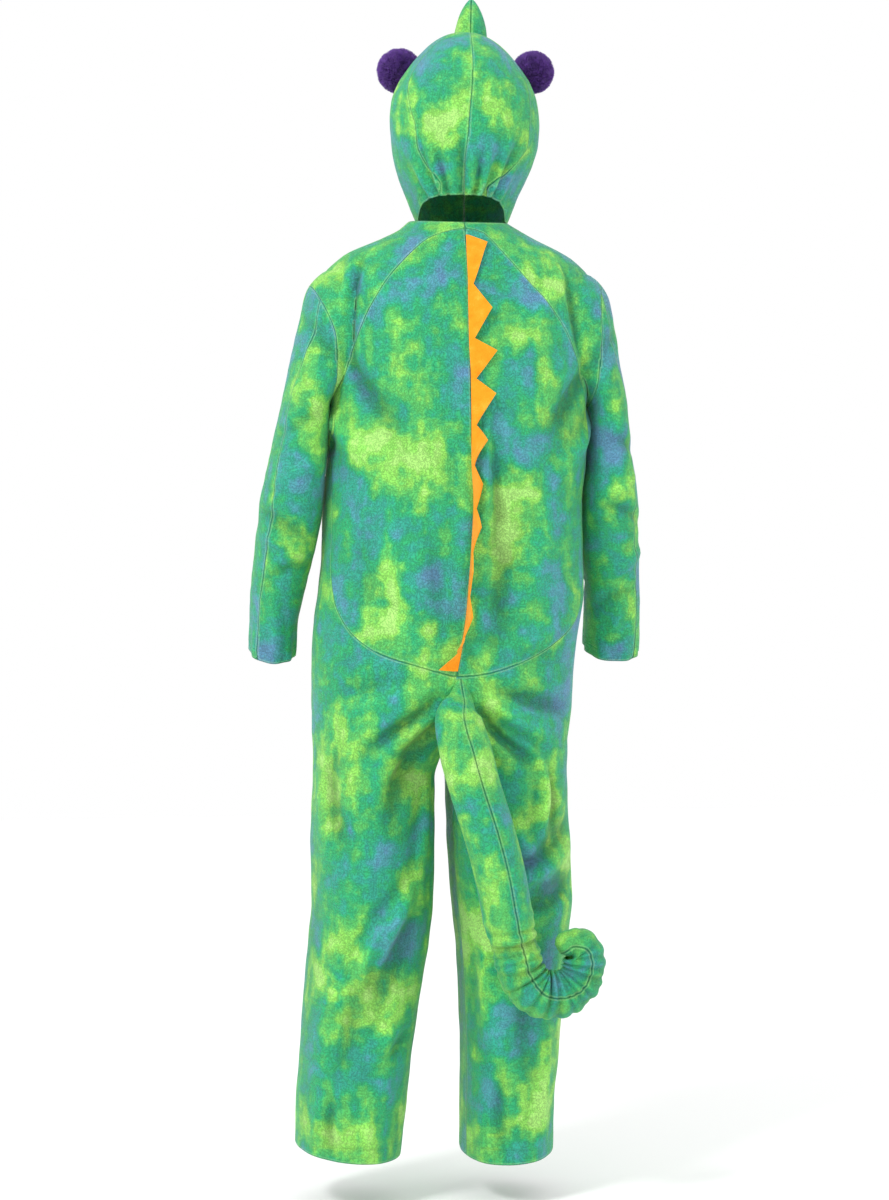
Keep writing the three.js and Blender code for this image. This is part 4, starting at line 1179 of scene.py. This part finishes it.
# Tail: the points of its middle line and its radius there, from the root to the tip
tailNames = ["x", "y", "z", "radius"]
tailRows = [
    (18, 128, -694, 5), (19, 137, -720, 19), (25, 152, -748, 36), (15, 160, -799, 40), (1, 164, -854, 38.5),
    (-19, 166, -918, 38), (-35, 167, -980, 38), (-48, 168, -1048, 37), (-57, 168, -1085, 36),
    (-69, 168, -1129, 36.5), (-90, 169, -1155, 37), (-117, 170, -1160, 37.5), (-146, 171, -1149, 35),
    (-161, 171, -1121, 33.5), (-156, 171, -1092, 31), (-137, 171, -1087, 23), (-125, 171, -1098, 13),
]
tail = {
    "seamTurn": math.radians(11),
    "gathers": 25,
    "gatherDepth": 0.13,
    "gatherStart": 7 / 16,
    "stations": 300,
    "columns": 72,
    "tipShare": 0.018,
    "seamDepth": 1.6,
    "seamWidth": 2.2,
    "collar": 0.035,
    "rootFlatness": 0.62,
    "fill": 0.75,
    "shift": (2.2, 6.4, 1.1),
    "base": 0.6,
    "spots": [(20, -760, 40, 0.35), (0, -830, 40, 0.1), (-15, -900, 40, 0.25), (-25, -960, 45, -0.35),
              (-45, -1040, 45, 0.3), (-70, -1100, 40, 0.1), (-90, -1150, 40, -0.35), (-150, -1110, 35, 0.3)],
}


def curveThrough(points, count):
    # the centripetal curve through a row of points, evenly spaced in rows
    padded = lengthened(points)
    steps = np.sqrt(np.linalg.norm(np.diff(padded, axis=0), axis=1))
    made = []
    for place in np.linspace(0, len(points) - 1, count):
        i = min(int(place), len(points) - 2)
        x0, x1, x2, x3 = padded[i:i + 4]
        d0, d1, d2 = steps[i:i + 3]
        startSlope = ((x1 - x0) / d0 - (x2 - x0) / (d0 + d1) + (x2 - x1) / d1) * d1
        endSlope = ((x2 - x1) / d1 - (x3 - x1) / (d1 + d2) + (x3 - x2) / d2) * d1
        made.append(hermite(place - i, x1, startSlope, x2, endSlope))
    return np.array(made)


def tailGathers(turns, fromStart):
    # uneven gathers round the curl, as a share of the radius; fromStart runs from the first to the last
    pick = np.random.RandomState(17)
    wave = np.zeros((len(fromStart), turns.shape[1]))
    count = tail["gathers"]
    for k in range(count):
        centre = (k + 0.5 + pick.uniform(-0.22, 0.22)) / count
        width = pick.uniform(0.24, 0.4) / count
        depth = pick.uniform(0.6, 1.15)
        drift = pick.uniform(-0.8, 0.8) / count
        swing = pick.uniform(0, 2 * np.pi)
        line = centre + drift * np.sin(turns * 0.5 + swing) * 0.9
        reach = 0.35 + 0.65 * np.abs(np.cos((turns - np.pi / 2) / 2 + 0.3 * math.sin(swing))) ** 1.5
        wave -= depth * reach * np.exp(-((fromStart - line) / width) ** 2)
    return tail["gatherDepth"] * wave


def tailSeamGap(points, middle, away, rootRadius):
    # distance of each point from the seam behind
    tree = treeOf(middle + away * rootRadius[:, None])
    gaps = []
    for point in points:
        i = tree.find(point)[1]
        side = unit(np.cross(away[i], middle[min(i + 1, len(middle) - 1)] - middle[max(i - 1, 0)]))
        behind = np.dot(point - middle[i], away[i]) > 0
        gaps.append(abs(np.dot(point - middle[i], side)) if behind else 20.0)
    return np.array(gaps)


def makeTail():
    rows = np.array(tailRows, float)
    share = np.linspace(0, 1, tail["stations"])
    middle = curveThrough(rows[:, :3], tail["stations"])
    plain = np.interp(share * (len(rows) - 1), np.arange(len(rows)), rows[:, tailNames.index("radius")])
    radius = np.convolve(np.pad(plain, 4, mode="edge"), np.ones(9) / 9, mode="valid")
    radius = (radius * np.sqrt(np.clip((1 - share) / tail["tipShare"], 0.02, 1)))[:, None]
    along = unit(np.gradient(middle, axis=0))
    seamSide = np.array([-math.sin(tail["seamTurn"]), math.cos(tail["seamTurn"]), 0.0])
    away = unit(seamSide - along * (along @ seamSide)[:, None])
    outer = np.cross(along, away)
    turns = np.linspace(0, 2 * np.pi, tail["columns"], endpoint=False)[None, :]
    start = tail["gatherStart"]
    walked = np.concatenate([[0], np.cumsum(np.linalg.norm(np.diff(middle, axis=0), axis=1))])
    firstGather = np.interp(start, share, walked)
    fromStart = np.clip((walked - firstGather) / (walked[-1] - firstGather), 0, 1)[:, None]
    gathers = tailGathers(turns, fromStart) * smoothStep(start, start + 0.04, share)[:, None]
    # the two lengthwise seams sink in
    seamLine = np.minimum(np.abs(turns - np.pi / 2), np.abs(turns - 3 * np.pi / 2))
    sunk = np.exp(-(seamLine * radius / tail["seamWidth"]) ** 2)
    collar = np.exp(-((share[:, None] - start + 0.004) / 0.006) ** 2)
    swell = 1 + gathers + tail["collar"] * collar
    size = np.maximum(radius * swell - tail["seamDepth"] * sunk * (radius > 12), 0.3)
    flatness = tail["rootFlatness"] + (1 - tail["rootFlatness"]) * smoothStep(0.06, 0.3, share)[:, None]
    rings = (
        middle[:, None, :]
        + outer[:, None, :] * (size * np.cos(turns))[:, :, None]
        + away[:, None, :] * (size * np.sin(turns) * flatness)[:, :, None]
    )
    mesh = largestPart(combined(loft("tail", rings), suitSkin, "DIFFERENCE"))
    points, _ = meshArrays(mesh)
    # the depth of the gathers and seams, which the plush shader darkens as painted shade
    crease = creaseFinder([(rings, radius * gathers - 3.0 * sunk)])(points)
    seamGap = tailSeamGap(points / mm, middle, away, plain) * mm
    stuffedPiece("tail", mesh, tail, seamGap, crease, "tail_outer", "tail_inner")
    print("tail made", len(points))


makeTail()

# Horn
horn = {
    "tipZ": 344.0, "footZ": 262.0, "radius": 26.0, "forward": -22.0, "across": -9.0, "lean": -2.0,
    "seamDepth": 1.5, "seamWidth": 2.4, "wobble": 0.5,
    "shift": (8.2, 1.6, 3.9), "base": 0.62, "spots": [(-10, 330, 25, 0.3), (-5, 295, 25, -0.2)], "fill": 0.8,
}


def makeHorn():
    share = np.concatenate([np.linspace(0, 0.9, 30), np.linspace(0.91, 1.0, 12)])[:, None]
    turns = np.linspace(0, 2 * np.pi, 64, endpoint=False)[None, :]
    radius = horn["radius"] * (1 - np.minimum(share, 0.9995) ** 2.2) ** 0.72 + 1 - share * 0.8
    seamLine = np.minimum(np.abs(np.sin(turns / 2 - np.pi / 4)), np.abs(np.cos(turns / 2 - np.pi / 4)))
    sunk = np.exp(-(seamLine * 2 * radius / horn["seamWidth"]) ** 2)
    radius = radius - horn["seamDepth"] * sunk * (radius > 6)
    radius = radius + horn["wobble"] * np.sin(turns * 5 + share * 9) * (1 - share)
    u = horn["across"] + horn["lean"] * share + radius * np.cos(turns)
    v = horn["forward"] + radius * np.sin(turns)
    tall = horn["tipZ"] - horn["footZ"]
    z = horn["footZ"] + tall * share + 0 * turns
    mesh = largestPart(combined(loft("horn", hoodPlace(u, v, z)), hoodSkin, "DIFFERENCE"))
    points = meshArrays(mesh)[0] / mm
    seamU = horn["across"] + horn["lean"] * (points[:, 2] - horn["footZ"]) / tall
    seamGap = np.abs((points - hoodPlace(0, 0, 0)) @ hoodAcross - seamU) * mm
    stuffedPiece("horn", mesh, horn, seamGap, 0.0, "horn_left", "horn_right")


makeHorn()
print("horn made")

# Crest of felt
crest = {
    "thickness": 2.0, "top": -27.0, "seat": 0.8, "notch": 8.0, "topWidth": 4.0, "columns": 9,
    "curl": 0.16, "lift": 1.2, "flat": (0.041, 0.655), "area": 0.0162,
}
teeth = named(["z", "width", "notchZ"], [
    (-39, 32, -105), (-141, 36, -187), (-205, 41, -247), (-269, 37, -316), (-339, 34, -376), (-404, 34, -440),
    (-468, 34, -505), (-534, 34, -570), (-600, 34, -630), (-643, 32, -654), (-679, 31, -681),
])
crestLean = makeTable(["z", "angle"], [
    (0, 80), (-205, 79), (-269, 66), (-339, 42), (-376, 16), (-440, 5), (-570, 5), (-610, -2), (-643, -22),
    (-656, -50), (-672, -74), (-700, -80),
])


def makeCrest():
    corners = [(crest["top"], crest["topWidth"])]
    for tooth in teeth:
        corners += [(tooth["z"], tooth["width"]), (tooth["notchZ"], crest["notch"])]
    corners = np.array(corners, float)
    steps = np.arange((len(corners) - 1) * 8 + 1) / 8
    z, width = (np.interp(steps, np.arange(len(corners)), corners[:, column]) for column in (0, 1))
    # the foot stands on the suit's middle, folds included
    (body, _), _ = surfaces[1]
    back = np.interp(z, body[:, 0, 2], body[:, 0, 1])
    angle = np.radians(tableAt(crestLean, z)["angle"])
    flatness, half = np.abs(np.sin(angle)), crest["thickness"] / 2
    middle = tableAt(trunkRows, z)["middle"]
    footY, footZ = back + crest["seat"] + half * flatness, z - neckDip(z, suit["neckBackDip"])
    foot = np.stack([middle, footY, footZ], axis=1)
    shares = np.linspace(0, 1, crest["columns"])
    sides = []
    for face, t in [(-1, t) for t in shares] + [(1, t) for t in shares[::-1]]:
        # each tooth curls a little from its root to its point
        curl = angle - crest["curl"] * t * np.sin(z / 31.0)
        out = np.stack([-np.sin(curl), np.cos(curl), 0 * z], axis=1)
        square = np.stack([np.cos(curl), np.sin(curl), 0 * z], axis=1)
        place = foot + out * (width * t)[:, None] + square * (face * half)
        place[:, 1] += crest["lift"] * t * (1 + np.sin(z / 17.0)) * np.sign(np.cos(angle) + 0.01) * flatness
        sides.append(place)
    return loft("crest", np.stack(sides, axis=1))


def feltFinish():
    finish = Finish("orange_felt_sheet", {
        "Roughness": 0.9, "Sheen Weight": 0.3, "Sheen Roughness": 0.5, "Sheen Tint": "#ffd9a0",
        "Specular IOR Level": 0.2,
    })
    fibres = finish.noise(finish.coordinates((0, 0, 0), (1, 1, 0.5)), 900.0, 4.0, 0.7)
    mixed = fibres * 0.5 + finish.noise(finish.coordinates(), 60.0, 3.0) * 0.5
    finish.feed("Base Color", finish.ramp(mixed, [(0.3, "#e07d0c"), (0.5, "#f59418"), (0.7, "#ffae38")]))
    finish.bump(mixed, 0.8)
    return finish.material


crestPiece = smoothObject("felt_crest", makeCrest(), feltFinish(), 40)
fitted(crestPiece, "orange_felt", "crest")
print("crest made, felt", round(meshArea(crestPiece.data) / 2, 4), "m2")

# Balls of purple fur: where each stands on the hood, and its radius
ball = {
    "forward": -50.0, "hairs": 13000, "hairLength": 10.5, "hairWidth": 0.6, "rootDepth": 0.6,
    "hairLean": 0.32, "clumping": 0.28, "seed": 5, "fill": 0.9,
}
balls = {"eye_left": (100.0, 238.0, 36.0), "eye_right": (-106.0, 236.0, 34.0)}


def furFinish():
    finish = Finish("purple_fur_pile", {
        "Roughness": 0.5, "Sheen Weight": 0.35, "Sheen Roughness": 0.4, "Sheen Tint": "#a878d8",
    })
    clumps = finish.noise(finish.coordinates(), 130.0, 3.0, 0.6)
    colour = finish.ramp(clumps, [(0.3, "#220d3e"), (0.5, "#441d72"), (0.7, "#6a3aa2")])
    finish.feed("Base Color", finish.blend(colour, "#7a4cb4", finish.attribute("tip") * 0.45))
    finish.bump(clumps * 1.2, 0.6)
    return finish.material


def furHairs(centre, radius, core, seed):
    # bent three-sided hairs of seven points each: three at the root, three half way and the tip
    pick = np.random.RandomState(seed)
    way = unit(pick.normal(size=(ball["hairs"], 3)))
    root = centre + way * (core - ball["rootDepth"])
    # hairs whose roots lie close to the hood are left out
    local = root - hoodPlace(0, 0, 0)
    deep, side = local @ hoodDeep, local @ hoodAcross
    row = tableAt(hoodRows, root[:, 2])
    depth = np.where(deep > 0, row["back"], row["front"])
    inside = ((side - row["middle"]) / row["half"]) ** 2 + (deep / depth) ** 2
    keep = (inside > 1.06) | (root[:, 2] > 288)
    way, root = way[keep], root[keep]
    lean = pick.normal(size=way.shape) * ball["hairLean"]
    clumpWaves = np.array([[13.0, 5, -7], [-6, 11, 9], [8, -9, 12]])
    clump = np.sin(way @ clumpWaves + seed) * ball["clumping"]
    length = (radius - core + ball["rootDepth"]) * pick.uniform(0.72, 1.0, len(way))[:, None]
    tip = root + way * length + (lean + clump) * length * 0.5
    reach = np.linalg.norm(tip - centre, axis=1, keepdims=True)
    tip = centre + (tip - centre) * np.minimum(1, radius / reach)
    middle = root + (tip - root) * 0.5 + way * 0.8
    first = unit(np.cross(way, [0.3, 0.5, 0.8]))
    second = np.cross(way, first)
    points = []
    for place, width in ((root, ball["hairWidth"]), (middle, ball["hairWidth"] * 0.8)):
        for turn in (0, 2 * math.pi / 3, 4 * math.pi / 3):
            points.append(place + (first * math.cos(turn) + second * math.sin(turn)) * width)
    return np.stack(points + [tip], axis=1)


def makeBall(u, z, radius, seed):
    centre = hoodPlace(u, ball["forward"], z)
    core = radius - ball["hairLength"] * 0.62
    tilt = np.radians(np.linspace(-88, 88, 28))[:, None]
    turns = np.linspace(0, 2 * np.pi, 44, endpoint=False)[None, :]
    flat = [np.cos(tilt) * np.cos(turns), np.cos(tilt) * np.sin(turns), np.sin(tilt) + 0 * turns]
    rings = centre + core * np.stack(flat, axis=2)
    body = largestPart(combined(loft("ball", rings), hoodSkin, "DIFFERENCE"))
    bodyPoints, _ = meshArrays(body)
    hairs = furHairs(centre, radius, core, seed)
    start = len(bodyPoints)
    faces = [list(face.vertices) for face in body.polygons]
    bases = start + np.arange(len(hairs))[:, None] * 7
    sides = [[k, (k + 1) % 3, 3 + (k + 1) % 3, 3 + k] for k in range(3)]
    tips = [[3 + k, 3 + (k + 1) % 3, 6] for k in range(3)]
    for pattern in sides + tips + [[2, 1, 0]]:
        faces += (bases + np.array([pattern])).tolist()
    mesh = meshFrom("ball", np.concatenate([bodyPoints / mm, hairs.reshape(-1, 3)]), faces)
    tip = np.tile([0, 0, 0, 0.5, 0.5, 0.5, 1.0], len(hairs))
    addAttributes(mesh, tip=np.concatenate([np.zeros(start), tip]))
    return mesh


furMaterial = furFinish()
for index, (name, (u, z, radius)) in enumerate(balls.items()):
    made = smoothObject("fur_" + name, makeBall(u, z, radius, ball["seed"] + index), furMaterial, 180)
    fitted(made, "purple_fur", name)
print("balls made")

# Floor, light and camera
studio = {
    "floorZ": -1.492,
    "floorReach": 6.0,
    "world": 1.0,
    # where each light stands, its size and its power
    "lights": {"key": ((2.6, 2.3, 2.3), 0.9, 95.0), "fill": ((-2.6, 2.8, 0.4), 2.0, 16.0)},
    "lightAim": (0.0, 0.0, -0.55),
    "cameraDistance": 4.3,
    "cameraTurn": math.radians(170),
    "cameraZ": -0.49,
    "cameraAim": (0.0188, -0.0033, -0.578),
    "sensor": 24.0,
    "lens": 56.2,
}


def aimed(name, data, place, aim):
    # a light or camera at a place, turned towards its aim
    made = bpy.data.objects.new(name, data)
    made.location = place
    made.rotation_euler = (Vector(aim) - Vector(place)).to_track_quat("-Z", "Y").to_euler()
    bpy.context.scene.collection.objects.link(made)
    return made


def makeFloor():
    finish = Finish("pale_floor", {"Roughness": 0.9, "Base Color": "#ffffff"})
    reach = studio["floorReach"] / mm
    corners = [(-reach, -reach, 0), (reach, -reach, 0), (reach, reach, 0), (-reach, reach, 0)]
    mesh = meshFrom("floor", corners, [[0, 1, 2, 3]])
    floor = bpy.data.objects.new("floor", mesh)
    floor.location.z = studio["floorZ"]
    floor.data.materials.append(finish.material)
    bpy.context.scene.collection.objects.link(floor)


def makeLights():
    for name, (place, size, power) in studio["lights"].items():
        light = bpy.data.lights.new(name, "AREA")
        light.size = size
        light.energy = power
        aimed(name, light, place, studio["lightAim"])
    world = bpy.data.worlds.new("white room")
    world.use_nodes = True
    background = world.node_tree.nodes["Background"]
    background.inputs["Color"].default_value = (1, 1, 1, 1)
    background.inputs["Strength"].default_value = studio["world"]
    bpy.context.scene.world = world
    bpy.context.scene.view_settings.view_transform = "Standard"


def makeCamera():
    turn, distance = studio["cameraTurn"], studio["cameraDistance"]
    camera = bpy.data.cameras.new("camera")
    camera.sensor_fit = "VERTICAL"
    camera.sensor_height = studio["sensor"]
    camera.lens = studio["lens"]
    place = (math.sin(turn) * distance, -math.cos(turn) * distance, studio["cameraZ"])
    bpy.context.scene.camera = aimed("camera", camera, place, studio["cameraAim"])


makeFloor()
makeLights()
makeCamera()
print("studio made")
